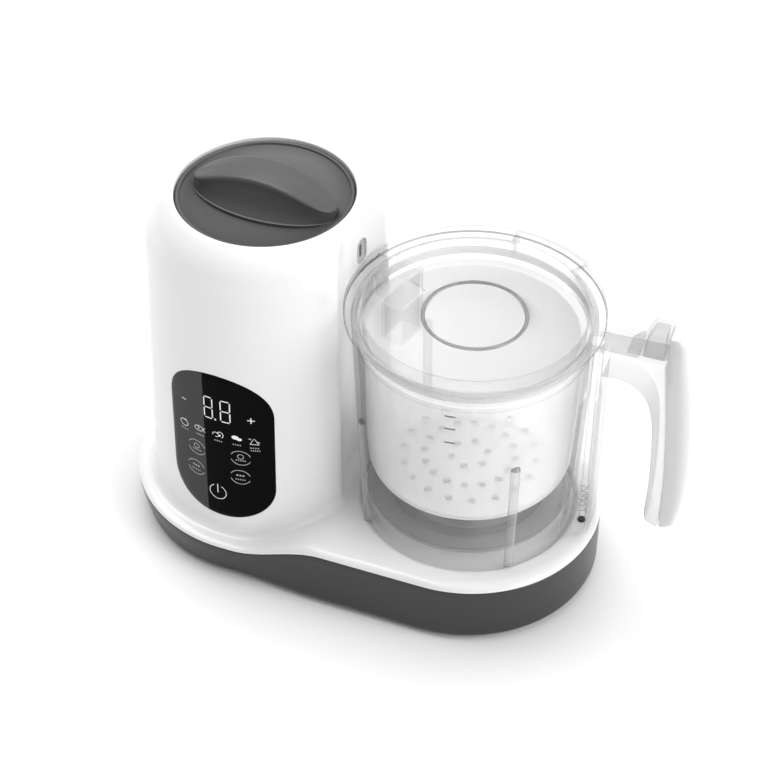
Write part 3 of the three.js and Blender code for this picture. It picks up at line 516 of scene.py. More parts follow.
def housing_section(angle):
    """One closed [r, z] section of the housing at an angle about the tower's axis."""
    fillet = 4.5
    reach = outline_reach(angle)
    hollow = scoop_reach(angle)
    top = shoulder_profile()
    foot_r = lesser(tower_radius(DECK[0] + fillet), hollow, EDGE_BLEND)
    deck_x = TOWER_X + (foot_r + fillet) * math.cos(angle)
    foot_z = between(DECK, deck_x)
    wall = [[tower_radius(z), z] for z in np.linspace(SHOULDER[1], foot_z + fillet, 22)[1:]]
    thin = CAP_WELL_R + 0.65
    outside = []
    for r, z in top + wall:
        width = EDGE_BLEND * (1 - 0.6 * float(smooth((z - 174) / 11)))
        outside.append([max(lesser(r, hollow, width), thin) if r > thin else r, z])
    bend = arc((outside[-1][0] + fillet, foot_z + fillet), fillet, 180, 270, 7)[1:]
    roll = 6.5
    edge_x = TOWER_X + reach * math.cos(angle)
    edge_z = between(DECK, edge_x)
    seam_z = between(SEAM, edge_x)
    first, last = bend[-1][0], reach - roll
    last = max(last, first + 0.2)
    deck = []
    for t in np.linspace(0, 1, 46)[1:-1]:
        r = first + (last - first) * t
        deck.append([r, between(DECK, TOWER_X + r * math.cos(angle))])
    rim = arc((last, seam_z + 0.4), (reach - last, edge_z - seam_z - 0.4), 90, 0, 10)
    under = [[reach, seam_z], [reach - WALL, seam_z], [reach - WALL, edge_z - DECK_SKIN]]
    inner = []
    for t in np.linspace(1, 0, 10):
        r = (first - 6) + (reach - WALL - first + 6) * t
        inner.append([r, between(DECK, TOWER_X + r * math.cos(angle)) - DECK_SKIN])
    inside = [[lesser(r, hollow, EDGE_BLEND) - WALL, z] for r, z in wall[::-3]]
    back = [[min(inside[-1][0], 46), 172.5], [min(inside[-1][0], CAP_WELL_R) - 4, 172.5]]
    floor = [[31, 172.9], [30.4, 174.9], [30.4, CAP_SEAT_Z - 0.4], [30.8, CAP_SEAT_Z]]
    return outside + bend + deck + rim + under + inner[1:] + inside + back + floor


def housing():
    rings = []
    for angle in np.linspace(0, 2 * math.pi, 720, endpoint=False):
        r, z = np.array(housing_section(angle)).T
        rings.append(np.column_stack([TOWER_X + r * math.cos(angle), r * math.sin(angle), z]))
    made = make(
        "upper_housing_skin", *sections(rings), WHITE, "base", ["upper_housing"], "white_housing", 40)
    seat = [[AXIS, 20], [17, 20], [17, SEAT_Z - 0.5], [17.5, SEAT_Z], [52.6, SEAT_Z]]
    seat += [[53, SEAT_Z + 0.4], [53.4, SEAT_Z + 1.1], [54.3, DECK[1] + 0.05], [54.3, 60], [AXIS, 60]]
    cutters = joined(
        turned(seat, 180, (JUG_X, 0)),
        port_solid(4.0, 7.0, SCOOP_R - 8, SCOOP_R + 6),
        panel_slab(0.25, -1.6, 6),
    )
    boolean(made, *cutters, sharp=40)


PORT_TURN = math.radians(171)
PORT_Z = 159


def port_solid(half, tall, near, far, steps=16):
    """An upright rounded block at the steam port, between two distances from the jug's axis."""
    ends = arc((0, tall - half), half, 0, 180, steps) + arc((0, half - tall), half, 180, 360, steps)
    rings = []
    heading = Vector((math.cos(PORT_TURN), math.sin(PORT_TURN), 0))
    across = Vector((-heading.y, heading.x, 0))
    for reach in (near, far):
        middle_line = Vector((JUG_X, 0, PORT_Z)) + heading * reach
        rings.append([list(middle_line + across * a + Vector((0, 0, b))) for a, b in ends])
    return capped(rings)


# ---------- control panel ----------
PANEL = {"half": 26.7, "low": 33.5, "bend": 55, "shoulder": 99, "high": 121}


def panel_outline(margin):
    """[x, z] outline of the panel about the tower's axis, counter-clockwise from the left side."""
    half, low, high = PANEL["half"] + margin, PANEL["low"] - margin, PANEL["high"] + margin
    bend, shoulder = PANEL["bend"], PANEL["shoulder"]
    down = bezier((-half, bend), (-half, low + 7.5), (-15, low), (0, low), 30)
    up = bezier((0, low), (15, low), (half, low + 7.5), (half, bend), 30)
    right = [[half, bend + (shoulder - bend) * t] for t in np.linspace(0, 1, 12, endpoint=False)]
    over = bezier((half, shoulder), (half, high - 10.5), (17, high - 0.4), (0, high), 34)
    fall = bezier((0, high), (-17, high - 0.4), (-half, high - 10.5), (-half, shoulder), 34)
    left = [[-half, shoulder + (bend - shoulder) * t] for t in np.linspace(0, 1, 12, endpoint=False)]
    return down + up + right + over + fall + left


def on_tower(x, z, proud):
    """The point of the tower's front face at (x, z), moved outwards."""
    r = tower_radius(z) + proud
    return [TOWER_X + x, -math.sqrt(max(r * r - x * x, 0)), z]


def panel_slab(margin, back, front, edge=0.0):
    """The panel's outline as a solid that follows the tower, between two depths."""
    outline = np.array(panel_outline(margin))
    centre = np.array([0, 76])
    layers = [(k / 14, back) for k in range(1, 15)]
    layers += [(1, front - edge), (1 - edge / 40, front)] if edge else [(1, front)]
    layers += [(k / 14, front) for k in range(13, 0, -1)]
    rings = []
    for share, proud in layers:
        flat = centre + (outline - centre) * share
        rings.append([on_tower(x, z, proud) for x, z in flat])
    return capped(rings)


INK_PROUD = 0.19  # the print stands this far off the tower's wall, on the glass
INK_LOW = INK_PROUD - 0.1


def stroke(points, width, closed=False):
    """A printed line of even width along [x, z] points on the panel."""
    line = [Vector(p) for p in points]
    count = len(line)
    rings = []
    for i, here in enumerate(line):
        before = line[i - 1] if i or closed else here
        after = line[(i + 1) % count] if i < count - 1 or closed else here
        along = (after - before).normalized()
        side = Vector((-along.y, along.x)) * width / 2
        a, b = here + side, here - side
        corners = [(a, INK_LOW), (a, INK_PROUD), (b, INK_PROUD), (b, INK_LOW)]
        rings.append([on_tower(*at, proud) for at, proud in corners])
    return sections(rings) if closed else capped(rings)


def round_line(centre, rx, rz, start, end, width, steps=28):
    closed = abs(end - start) >= 360
    points = arc(centre, (rx, rz), start, end, steps)
    return stroke(points[:-1] if closed else points, width, closed)


def dot(centre, rx, rz, steps=14):
    outer = arc(centre, (rx, rz), 0, 360, steps)[:-1]
    rings = [[on_tower(x, z, p) for x, z in outer] for p in (INK_LOW, INK_PROUD)]
    return capped(rings)


def digit(left, low, wide, tall, width):
    """A seven-segment eight."""
    gap = 0.4
    parts = []
    for b in (0, 0.5, 1):
        z = low + b * tall
        parts.append(stroke([[left + gap, z], [left + wide - gap, z]], width))
    for x in (left, left + wide):
        for b in (0, 0.5):
            z = low + b * tall
            parts.append(stroke([[x, z + gap + 0.2], [x, z + tall / 2 - gap - 0.2]], width))
    return joined(*parts)


def display_prints():
    """The lit signs: two figures with a point, minus, plus and the power sign."""
    low, tall, line = 94.3, 12.6, 0.6
    parts = [digit(-6.3, low, 4.3, tall, line), digit(2.3, low, 4.7, tall, line)]
    parts.append(dot((-0.6, low + 0.1), 0.55, 0.55))
    parts.append(stroke([[-19.6, 98.8], [-17, 98.8]], 0.4))
    plus_x, plus_z, arm = 16.9, 97.8, 1.7
    parts.append(stroke([[plus_x - arm, plus_z], [plus_x + arm, plus_z]], 0.5))
    parts.append(stroke([[plus_x, plus_z - arm], [plus_x, plus_z - 0.25]], 0.5))
    parts.append(stroke([[plus_x, plus_z + 0.25], [plus_x, plus_z + arm]], 0.5))
    power_x, power_z = -1.1, 48.2
    parts.append(round_line((power_x, power_z), 4.4, 4.4, 116, 424, 0.36))
    parts.append(stroke([[power_x, power_z - 0.4], [power_x, power_z + 5]], 0.45))
    return joined(*parts)


SIGNS = [(-19, 84), (-9.6, 85), (0.4, 85.5), (9.8, 85.7), (18.1, 84.9)]  # the row of food signs


def food_icons():
    """Five small signs in a row: fruit, fish, leaves, meat and a covered bowl."""
    (a, za), (b, zb), (c, zc), (d, zd), (e, ze) = SIGNS
    parts = [round_line((a, za - 0.2), 2.3, 1.9, 75, 425, 0.3)]
    parts.append(stroke([[a - 0.2, za + 1.4], [a + 1.3, za + 2.1]], 0.45))
    parts.append(round_line((b - 0.5, zb), 2.3, 1.5, 0, 360, 0.28))
    parts.append(round_line((b - 1.3, zb + 0.2), 1.0, 0.9, -80, 80, 0.25, 10))
    parts.append(stroke([[b + 1.7, zb], [b + 3, zb + 1.3]], 0.3))
    parts.append(stroke([[b + 1.7, zb], [b + 3, zb - 1.3]], 0.3))
    parts.append(round_line((c - 1.1, zc - 0.3), 1.6, 1.3, -100, 200, 0.32))
    parts.append(round_line((c + 1.2, zc), 1.5, 1.8, -60, 170, 0.35))
    parts.append(dot((c + 0.9, zc - 0.5), 0.55, 0.6))
    parts.append(dot((d - 0.7, zd + 0.4), 1.8, 1.2))
    parts.append(dot((d + 1.2, zd - 0.4), 1.4, 0.9))
    parts.append(stroke([[e - 1.9, ze - 1.5], [e, ze + 1.9], [e + 1.9, ze - 1.5]], 0.28))
    parts.append(stroke([[e - 2.1, ze - 1.7], [e + 2.1, ze - 1.7]], 0.3))
    parts.append(stroke([[e - 2.6, ze + 1.7], [e + 2.5, ze - 0.5]], 0.28))
    return joined(*parts)


def plain_words(x, z, count, size=0.6):
    """A row of short dashes where the panel carries a small word."""
    pitch = 1.9 * size
    start = x - pitch * (count - 1) / 2
    places = [start + pitch * i for i in range(count)]
    return [stroke([[at - size / 2, z], [at + size / 2, z]], 0.7) for at in places]


def button_marks():
    """Four touch fields between curved brackets, and the dashes under signs and in fields."""
    parts = []
    for k, (x, z) in enumerate([(-12, 72), (11.4, 73.6), (-13, 58.8), (10.9, 61.3)]):
        parts.append(round_line((x, z), 4.9, 4.3, 18, 158, 0.36))
        parts.append(round_line((x, z), 4.9, 4.3, 198, 338, 0.36))
        if k < 2:
            parts.append(round_line((x, z + 0.9), 1.5, 1.4, 0, 360, 0.36, 16))
        else:
            parts += [dot((x + shift, z + 1.1), 0.55, 0.55, 10) for shift in (-1.5, 0, 1.5)]
        parts += plain_words(x, z - 1.5, 5, 0.55)
    for i, (x, z) in enumerate(SIGNS):
        parts += plain_words(x, z - 4, 4)
        if i == 4:
            parts += plain_words(x + 0.4, z - 5.6, 5, 0.5)
    return joined(*parts)


def panel():
    glass = panel_slab(0, -1.2, 0.15, 0.12)
    make("panel_glass", *glass, PANEL_BLACK, "base", ["control_panel"], "black_panel", 50)
    for name, shape, look in (
        ("panel_display_prints", display_prints(), INK),
        ("panel_food_icons", food_icons(), INK),
        ("panel_button_marks", button_marks(), INK_DIM),
    ):
        make(name, *shape, look, "base", sharp=30)


# ---------- grey skirt ----------
def skirt():
    """The grey band: leans in under the tower, upright under the jug, with a rounded lower edge."""
    count = 480
    rings = []
    for angle in np.linspace(0, 2 * math.pi, count, endpoint=False):
        top = outline_reach(angle)
        edge_x = TOWER_X + top * math.cos(angle)
        lean = SKIRT_LEAN * (1 - climb(edge_x))
        seam = between(SEAM, edge_x) - 0.4
        section = [[top - 0.35, seam], [top, seam - 0.35]]
        for t in np.linspace(0, 1, 9)[1:]:
            section.append([top - lean * t**1.4, seam - 0.35 + (FOOT + 3.4 - seam + 0.35) * t])
        low = top - lean
        section += arc((low - 3.4, FOOT + 3.4), 3.4, 0, -90, 8)[1:]
        section += [[low - 3.6, FOOT + 0.3], [low - 3.6, FOOT + 3.5]]
        section += [[top - WALL - 0.5, seam - 4], [top - WALL, seam]]
        r, z = np.array(section).T
        rings.append(np.column_stack([TOWER_X + r * math.cos(angle), r * math.sin(angle), z]))
    made = make("base_skirt_band", *sections(rings), DARK, "base", ["base_skirt"], "dark_grey", 40)
    gland = middle("cord_gland")
    hole = np.array(arc((gland.x, gland.z), 7.2, 0, 360, 32)[:-1])
    boolean(made, *upright(hole, 58, 76, 0.2, 1), sharp=40)


def bottom():
    """The underside: a plate inside the grey band with vent slots and sunk screw holes."""
    rings = []
    for angle in np.linspace(0, 2 * math.pi, 360, endpoint=False):
        top = outline_reach(angle)
        lean = SKIRT_LEAN * (1 - climb(TOWER_X + top * math.cos(angle)))
        reach = top - lean - 3.9
        section = [[1, FOOT + 0.2], [reach - 0.4, FOOT + 0.2], [reach, FOOT + 0.6], [reach, FOOT + WALL],
                   [1, FOOT + WALL]]
        r, z = np.array(section).T
        rings.append(np.column_stack([TOWER_X + r * math.cos(angle), r * math.sin(angle), z]))
    made = make(
        "bottom_plate_moulding", *sections(rings), UNDER_GREY, "base", ["bottom_plate"], "under_plate")
    cutters = []
    for i in range(6):
        x = TOWER_X + 3.5 + 7 * i
        slot = arc((x, -32.5), 1.5, 180, 360, 8) + arc((x, -15.5), 1.5, 0, 180, 8)
        cutters.append(prism(slot, 0, 9))
    for i in range(1, 5):
        screw, pad = middle(f"base_screw_{i}"), middle(f"foot_{i}")
        cutters.append(cylinder(3.4, 0, FOOT + 1.4, (screw.x, screw.y)))
        cutters.append(cylinder(2.9, 0, 9, (pad.x, pad.y)))
    boolean(made, *joined(*cutters))


def feet():
    for i in range(1, 5):
        spot = middle(f"foot_{i}")
        profile = [[AXIS, 0.2], [5, 0.2], [5.4, 0.05], *arc((7.6, 0.9), 0.9, -90, 0, 4)]
        profile += [[8.5, 1.7], [2.7, 1.7], [2.7, 6], [AXIS, 6]]
        pad = turned(profile, 40, (spot.x, spot.y))
        make(f"rubber_foot_{i}", *pad, RUBBER, "base", [f"foot_{i}"], "rubber")


def gland():
    """Strain relief at the back: a flanged sleeve with ridges round a bore."""
    spot = middle("cord_gland")
    end_y = -low_high("cord_gland")[1].y
    profile = [[3.4, -56], [6.6, -56.4], [6.6, -66], [6.2, -66.5], [5.4, -66.6]]
    for k in range(3):
        y = -67 - 0.9 * k
        profile += [[5.3, y], [4.9, y - 0.3], [4.9, y - 0.6], [5.2, y - 0.8]]
    profile += [[3.9, end_y], [3.4, end_y + 0.3]]
    points, faces = turned(profile, 40)
    points = np.column_stack([points[:, 0] + spot.x, -points[:, 2], points[:, 1] + spot.z])
    make("cord_gland_sleeve", points, faces, RUBBER, "base", ["cord_gland"], "rubber")


# ---------- tank cap ----------
CAP_R = 41.4
CAP_Z = 186


def cap():
    """Dished cap with a thin rim and a sealing plug below, and the grip standing in the dish."""
    rim = arc((CAP_R - 1.1, CAP_Z - 1.0), (1.1, 1.0), 150, 0, 7)
    top = [[AXIS, 181.8], [12, 181.5], [24, 181.5], [32, 182.1], [36.5, 183.3], [39.2, 184.9]]
    side = [[CAP_R, CAP_SEAT_Z + 1.2], [CAP_R - 0.5, CAP_SEAT_Z + 0.8], [CAP_R - 2, CAP_SEAT_Z + 0.8]]
    plug = [[CAP_R - 2.4, 180.6], [26.5, 180.6], [26.5, 171.4], [27.4, 171.2], [27.4, 169.8]]
    plug += [[27, 169.6], [23.5, 169.6], [23.5, 180.4], [AXIS, 180.4]]
    dish = turned(top + rim + side + plug, 160, (TOWER_X, 0))
    make("cap_dish", *dish, CAP_GREY, "tank_cap", ["cap_body"], "grey_cap", 45)
    make("cap_grip", *grip(), CAP_GREY, "tank_cap", (), "grey_cap", 42)


def grip():
    """The grip: a broad arched band with blunt ends, its long sides sweeping out hollow to the dish."""
    long, wide, foot_wide = 35.8, 9.4, 16.4  # half sizes of the band, and of its foot across
    base, end_z, top_z = 181, 187.2, 199
    ledge = 2.0  # height of the narrow ledge round the foot
    soft = 0.7  # drop of the band's rounded edge

    def band(x):
        return wide * (1 - min(abs(x) / long, 1) ** 5) ** 0.5

    def flare(x):
        return foot_wide * (1 - (x / (long + 1.6)) ** 2) ** 0.62

    def crown(x, y):
        return end_z + (top_z - end_z) * (1 - (x / long) ** 2) - 0.5 * (y / wide) ** 2

    stations = [long * math.sin(t * math.pi / 2) for t in np.linspace(-1, 1, 71)]
    levels = [("ledge", 0, 1.0), ("ledge", ledge - 0.1, 1.0), ("ledge", ledge + 0.2, 0.3)]
    levels += [("side", t, 0) for t in np.linspace(0, 1, 12)]
    levels += [("top", t, 0) for t in (0.99, 0.96, 0.9, 0.75, 0.55, 0.3, 0.001)]
    rings = []
    for kind, value, extra in levels:
        ring = []
        for side in (1, -1):
            for x in stations if side > 0 else stations[::-1]:
                edge = crown(x, band(x)) - soft
                if kind == "ledge":
                    y, z = flare(x) + extra, min(base + value, edge)
                elif kind == "side":
                    foot = min(base + ledge, edge)
                    y = band(x) + (flare(x) - band(x)) * (1 - value) ** 2.4
                    z = foot + (edge - foot) * value
                else:
                    y = band(x) * value
                    z = crown(x, y) - soft * max(0, (value - 0.9) / 0.1) ** 2
                ring.append([TOWER_X + x, side * y, z])
        rings.append(ring)
    return capped(rings)


# ---------- jug ----------
JUG_FOOT = (52, 34.9)  # outer radius and height of the foot
JUG_MOUTH = (56.5, 149.5)  # the same at the mouth
LEDGE_Z = 137  # the basket hangs from the ledge inside the mouth
MOUTH_INNER_R = 54.3
JUG_FLOOR_Z = 44.5
BOSS_Z = 48.5  # top of the boss round the spindle's bore
BORE_R = 6.5
JUG_WALL = 2.2
SPOUT = {"from": 56, "to": 94, "r": 65.5, "low": 138}  # the pouring lip, its sides in degrees
ROD_X = 57.5  # the safety rod runs down the column here
RIB = {"r": 2.3, "top": 100.5}
HANDLE_X = 63  # beyond this X the clear plastic is the thick arm
COLUMN_X = 48  # the ribs all stand short of this X


def jug_outer(z):
    """The jug's outer radius at a height."""
    return JUG_FOOT[0] + (JUG_MOUTH[0] - JUG_FOOT[0]) * (z - JUG_FOOT[1]) / (JUG_MOUTH[1] - JUG_FOOT[1])


def jug_shell():
    """[r, z] profile of the bowl: tapered wall, ledge, and a floor with rings and a boss."""
    foot_r, foot_z = JUG_FOOT
    rim_r, rim_z = JUG_MOUTH
    outer = [[foot_r - 2.4, foot_z], [foot_r - 0.4, foot_z], [jug_outer(foot_z + 1), foot_z + 0.6]]
    outer += [[jug_outer(z), z] for z in np.linspace(foot_z + 3, rim_z - 1, 14)]
    outer += [[rim_r - 0.4, rim_z], [MOUTH_INNER_R + 0.4, rim_z], [MOUTH_INNER_R, rim_z - 0.4]]
    outer += [[MOUTH_INNER_R, LEDGE_Z], [jug_outer(LEDGE_Z) - JUG_WALL - 1.1, LEDGE_Z]]
    inner = [[jug_outer(z) - JUG_WALL, z] for z in np.linspace(LEDGE_Z - 6, JUG_FLOOR_Z + 6, 10)]
    corner = jug_outer(JUG_FLOOR_Z) - JUG_WALL - 4
    inner += arc((corner, JUG_FLOOR_Z + 4), 4, 0, -90, 6)
    under = JUG_FLOOR_Z - 2.2
    floor = [[38, JUG_FLOOR_Z], [37.5, JUG_FLOOR_Z - 0.4], [36.5, JUG_FLOOR_Z - 0.4], [36, JUG_FLOOR_Z]]
    steps = [(33.6, 0), (33, 0.8), (30.4, 0.8), (29.8, 1.6), (27, 1.6), (26, 0.6), (18, 0.6), (12, 1.8)]
    floor += [[r, JUG_FLOOR_Z + rise] for r, rise in steps]
    floor += [[9.8, BOSS_Z - 0.4], [9.2, BOSS_Z], [BORE_R, BOSS_Z], [BORE_R, under]]
    floor += [[foot_r - 4.4, under], [foot_r - 2.8, under - 1]]
    return outer + inner + floor


def rib_solid(degrees):
    """A half-round rib up the outside of the jug, with a domed top."""
    low, high, r = JUG_FOOT[1] + 1.5, RIB["top"], RIB["r"]
    turn = Matrix.Rotation(math.radians(degrees) - HANDLE_TURN, 2)
    sides = 20
    rings = []
    for z, size in [(low, 1.0), *[(low + (high - low) * t, 1.0) for t in np.linspace(0.1, 1, 8)],
                    (high + 0.9, 0.86), (high + 1.6, 0.5), (high + 1.8, 0.02)]:
        centre = jug_outer(min(z, high)) + 0.1
        ring = []
        for a in np.linspace(0, 2 * math.pi, sides, endpoint=False):
            x = centre + r * size * math.cos(a)
            y = r * size * math.sin(a)
            ring.append([*(turn @ Vector((x, y))), z])
        rings.append(ring)
    return capped(rings)


HANDLE_HALF = 8.2  # half the thickness of the handle's clear core
COLUMN_TOP = 148
COLUMN_WALL = 1.8


def column_outline(margin):
    """Plan of the column between jug and handle, drawn in by a margin."""
    half = 9 - margin
    near = 50
    far = 62.2 - margin
    corners = [[near, -16 + margin], [far, -half], [far, half], [near, 16 - margin]]
    return rounded(corners, [0.2, 1.6, 1.6, 0.2], 4)


def handle_core_outline():
    """Side view of the clear arm and the strip that runs down inside the grip."""
    top = [[56, 149], [63, 149.4], [88, 150.2], [90.2, 149.4]]
    down = bezier((90.4, 147), (94.6, 108), (96, 84), (95.6, 62), 20)
    tip = bezier((95.6, 62), (95.5, 58), (95.4, 55), (95.2, 52), 5) + [[95.0, 51.4], [92.4, 51.9]]
    up = bezier((91, 52.6), (88.6, 53.5), (88, 56), (88.2, 62), 8)
    up += bezier((88.2, 62), (89.2, 78), (88.6, 98), (87.2, 112.6), 14)
    bend = bezier((87.2, 112.6), (85.5, 130), (79, 135.5), (68, 136.4), 16) + [[56, 135.6]]
    return top + down + tip + up + bend


def shell_lines():
    """Inner and outer side-view lines of the white grip, from its top down."""
    inner = bezier((91.2, 165), (91.1, 160), (91.3, 154), (91.4, 149.5), 8)
    inner += bezier((91.4, 149.5), (95.0, 108), (96.5, 84), (96.0, 62), 34)
    inner += bezier((96.0, 62), (95.9, 58), (95.8, 53), (96.2, 49.5), 8)
    outer = bezier((96.4, 165.6), (99.6, 164.5), (100.2, 158), (100.6, 154), 8)
    outer += bezier((100.6, 154), (104.5, 128), (106.8, 106), (106.8, 84), 34)
    outer += bezier((106.8, 84), (106.8, 73), (105.8, 59), (102, 50.5), 8)
    return inner, outer


def shell_solid(half):
    """The white grip swept from top to foot: square to the clear core, well rounded outside."""
    inner, outer = shell_lines()
    rings = []
    count = len(inner)
    blunt = 6  # the last stations at each end draw in
    fullness = 0.65  # under 1 makes the outer round squarer than an ellipse
    turns = np.linspace(0, math.pi / 2, 10)
    round_part = [(math.sin(a) ** fullness, math.cos(a) ** fullness) for a in turns[:-1]]
    for i, (near, far) in enumerate(zip(inner, outer)):
        near, far = np.array(near), np.array(far)
        thick = np.linalg.norm(far - near)
        end = min(i, count - 1 - i, blunt) / blunt
        taper = math.sqrt(1 - (1 - end) ** 2)
        wide = half * (0.8 + 0.2 * taper)
        flat = min(3.8, 0.45 * thick)
        section = [(0.5, -wide), *[(flat + (thick - flat) * u, -wide * v) for u, v in round_part]]
        mirrored = [(u, -v) for u, v in section[::-1]]
        section = section + [(thick, 0)] + mirrored + [(0, wide - 0.5), (0, 0.5 - wide)]
        along = (far - near) / thick
        rings.append([[near[0] + along[0] * u, v, near[1] + along[1] * u] for u, v in section])
    return capped(rings)


def strip_solid(outline, half, edge, steps=5):
    """A side view given thickness across the handle, with rounded edges drawn in along its normals."""
    line = np.array(outline, float)
    ahead = np.roll(line, -1, axis=0) - np.roll(line, 1, axis=0)
    ahead /= np.maximum(np.linalg.norm(ahead, axis=1, keepdims=True), 1e-6)
    area = np.sum(line[:, 0] * np.roll(line[:, 1], -1) - np.roll(line[:, 0], -1) * line[:, 1])
    inward = np.column_stack([-ahead[:, 1], ahead[:, 0]]) * (1 if area > 0 else -1)
    rings = []
    turns = np.linspace(0, math.pi / 2, steps + 1)
    layers = [(1 - math.sin(a), -half + edge * (1 - math.cos(a))) for a in turns]
    layers += [(1 - math.cos(a), half - edge * (1 - math.sin(a))) for a in turns]
    for drawn_in, y in layers:
        flat = line + inward * edge * drawn_in
        rings.append(np.column_stack([flat[:, 0], np.full(len(flat), y), flat[:, 1]]))
    return capped(rings)


def arc_slice(inner, outer, inset, low, high, start=SPOUT["from"], end=SPOUT["to"]):
    """A slice of a ring about the jug's axis, between two directions in degrees."""
    turns = np.radians(np.linspace(start + inset, end - inset, 28)) - HANDLE_TURN
    ring = [[inner * math.cos(a), inner * math.sin(a)] for a in turns]
    ring += [[outer * math.cos(a), outer * math.sin(a)] for a in turns[::-1]]
    return prism(ring, low, high)


def jug():
    """The clear jug: bowl, column, handle core, spout and ribs as one solid."""
    looks = [CLEAR, JUG_FLOOR, CLEAR_THICK, CLEAR_EDGE_SHADE, DARK_LINE_SHADE]
    darker_floor, thick, edge, line = 1, 2, 3, 4  # places in that list; darker_floor draws the floor darker, edge and line are painted refraction shade, thick is the thick clear plastic and also a painted highlight on the floor's rings
    bowl = turned(jug_shell(), 180)
    made = make("jug_clear_body", *bowl, looks, "jug", ["jug_body"], "clear", 30, JUG_PLACE)
    column = prism(column_outline(0), JUG_FOOT[1] + 1.5, COLUMN_TOP)
    extra = make("jug_extra", *column, CLEAR, "jug", place=JUG_PLACE)
    boolean(extra, *prism(column_outline(COLUMN_WALL), 20, 118), place=JUG_PLACE)
    for solid in (
        strip_solid(handle_core_outline(), HANDLE_HALF, 1.4),
        arc_slice(55.4, SPOUT["r"], 0, SPOUT["low"], JUG_MOUTH[1]),
    ):
        boolean(extra, *solid, operation="UNION", place=JUG_PLACE)
    above = 220
    inside = [[AXIS, 0], [jug_outer(0) - 0.6, 0], [jug_outer(above) - 0.6, above], [AXIS, above]]
    boolean(extra, *turned(inside, 120), place=JUG_PLACE)
    for degrees in (45, 135, 225, 313):
        boolean(extra, *rib_solid(degrees), operation="UNION", place=JUG_PLACE)
    combine(made, extra, "UNION", 30)
    pour = arc_slice(50, SPOUT["r"] - JUG_WALL, 2, SPOUT["low"] + 3, JUG_MOUTH[1] + 1)
    mouth = [[AXIS, LEDGE_Z], [MOUTH_INNER_R, LEDGE_Z], [MOUTH_INNER_R, above], [AXIS, above]]
    boolean(made, *pour, place=JUG_PLACE)
    boolean(made, *turned(mouth, 180), place=JUG_PLACE)
    boolean(made, *cylinder(3.4, 118.5, 200, (ROD_X, 0)), place=JUG_PLACE, sharp=30)

    def from_axis(x, y):
        return math.hypot(x - JUG_X, y)

    def on_rib(x, y, z, proud):
        return from_axis(x, y) > jug_outer(z) + proud and x - JUG_X < COLUMN_X

    rib_top = RIB["top"]
    paint(made, darker_floor, lambda x, y, z: z < JUG_FLOOR_Z + 0.1 and from_axis(x, y) < 38)
    # painted highlight: the floor's raised rings get the lighter thick clear look
    paint(made, thick, lambda x, y, z: z > JUG_FLOOR_Z + 0.2 and 26 < from_axis(x, y) < 34)
    paint(made, thick, lambda x, y, z: x - JUG_X > HANDLE_X)
    # painted refraction shade on the ribs and the mouth rim
    paint(made, edge, lambda x, y, z: z < rib_top + 0.5 and on_rib(x, y, z, 0.25))
    paint(made, edge, lambda x, y, z: z > JUG_MOUTH[1] - 0.6 and from_axis(x, y) < 66)
    # painted dark refraction lines on the ribs' domed tops and round the jug's foot
    paint(made, line, lambda x, y, z: rib_top - 0.1 < z < rib_top + 2.5 and on_rib(x, y, z, 0.2))
    paint(made, line, lambda x, y, z: z < JUG_FOOT[1] + 0.6 and from_axis(x, y) > JUG_FOOT[0] - 0.6)


def handle():
    """The white grip over the clear core, in a darker copy of the housing's white plastic as painted
    shade.
    """
    grip_solid = shell_solid(HANDLE_HALF + 0.6)
    make("handle_grip", *grip_solid, SHADED_GRIP_WHITE, "jug", ["handle_shell"], "white_housing", 50, JUG_PLACE)


def scale_prints():
    """Three level marks on the jug's front, without figures."""
    parts = []

    def on_jug(degrees, z):
        a = math.radians(degrees)
        r = jug_outer(z) + 0.12
        return [JUG_X + r * math.cos(a), r * math.sin(a), z]

    def bar(turn0, turn1, z, tall):
        steps = 4
        rings = []
        for t in np.linspace(turn0, turn1, steps):
            rings.append([on_jug(t, z - tall / 2), on_jug(t, z + tall / 2)])
        points = np.array(rings, float)
        deep = points.copy()
        deep[:, :, 0] = JUG_X + (points[:, :, 0] - JUG_X) * 0.998
        deep[:, :, 1] = points[:, :, 1] * 0.998
        loops = np.concatenate([points[:, ::-1], deep], axis=1)
        return capped(loops)

    for z in (119.4, 128, 135.6):
        parts.append(bar(-81.5, -76.5, z, 0.8))
    make("jug_scale_marks", *joined(*parts), SCALE_INK, "jug", sharp=30)


# ---------- basket ----------
BASKET = {"floor": 60, "rim": 138.8, "wall": 1.6, "r": 50.2, "floor_r": 41}


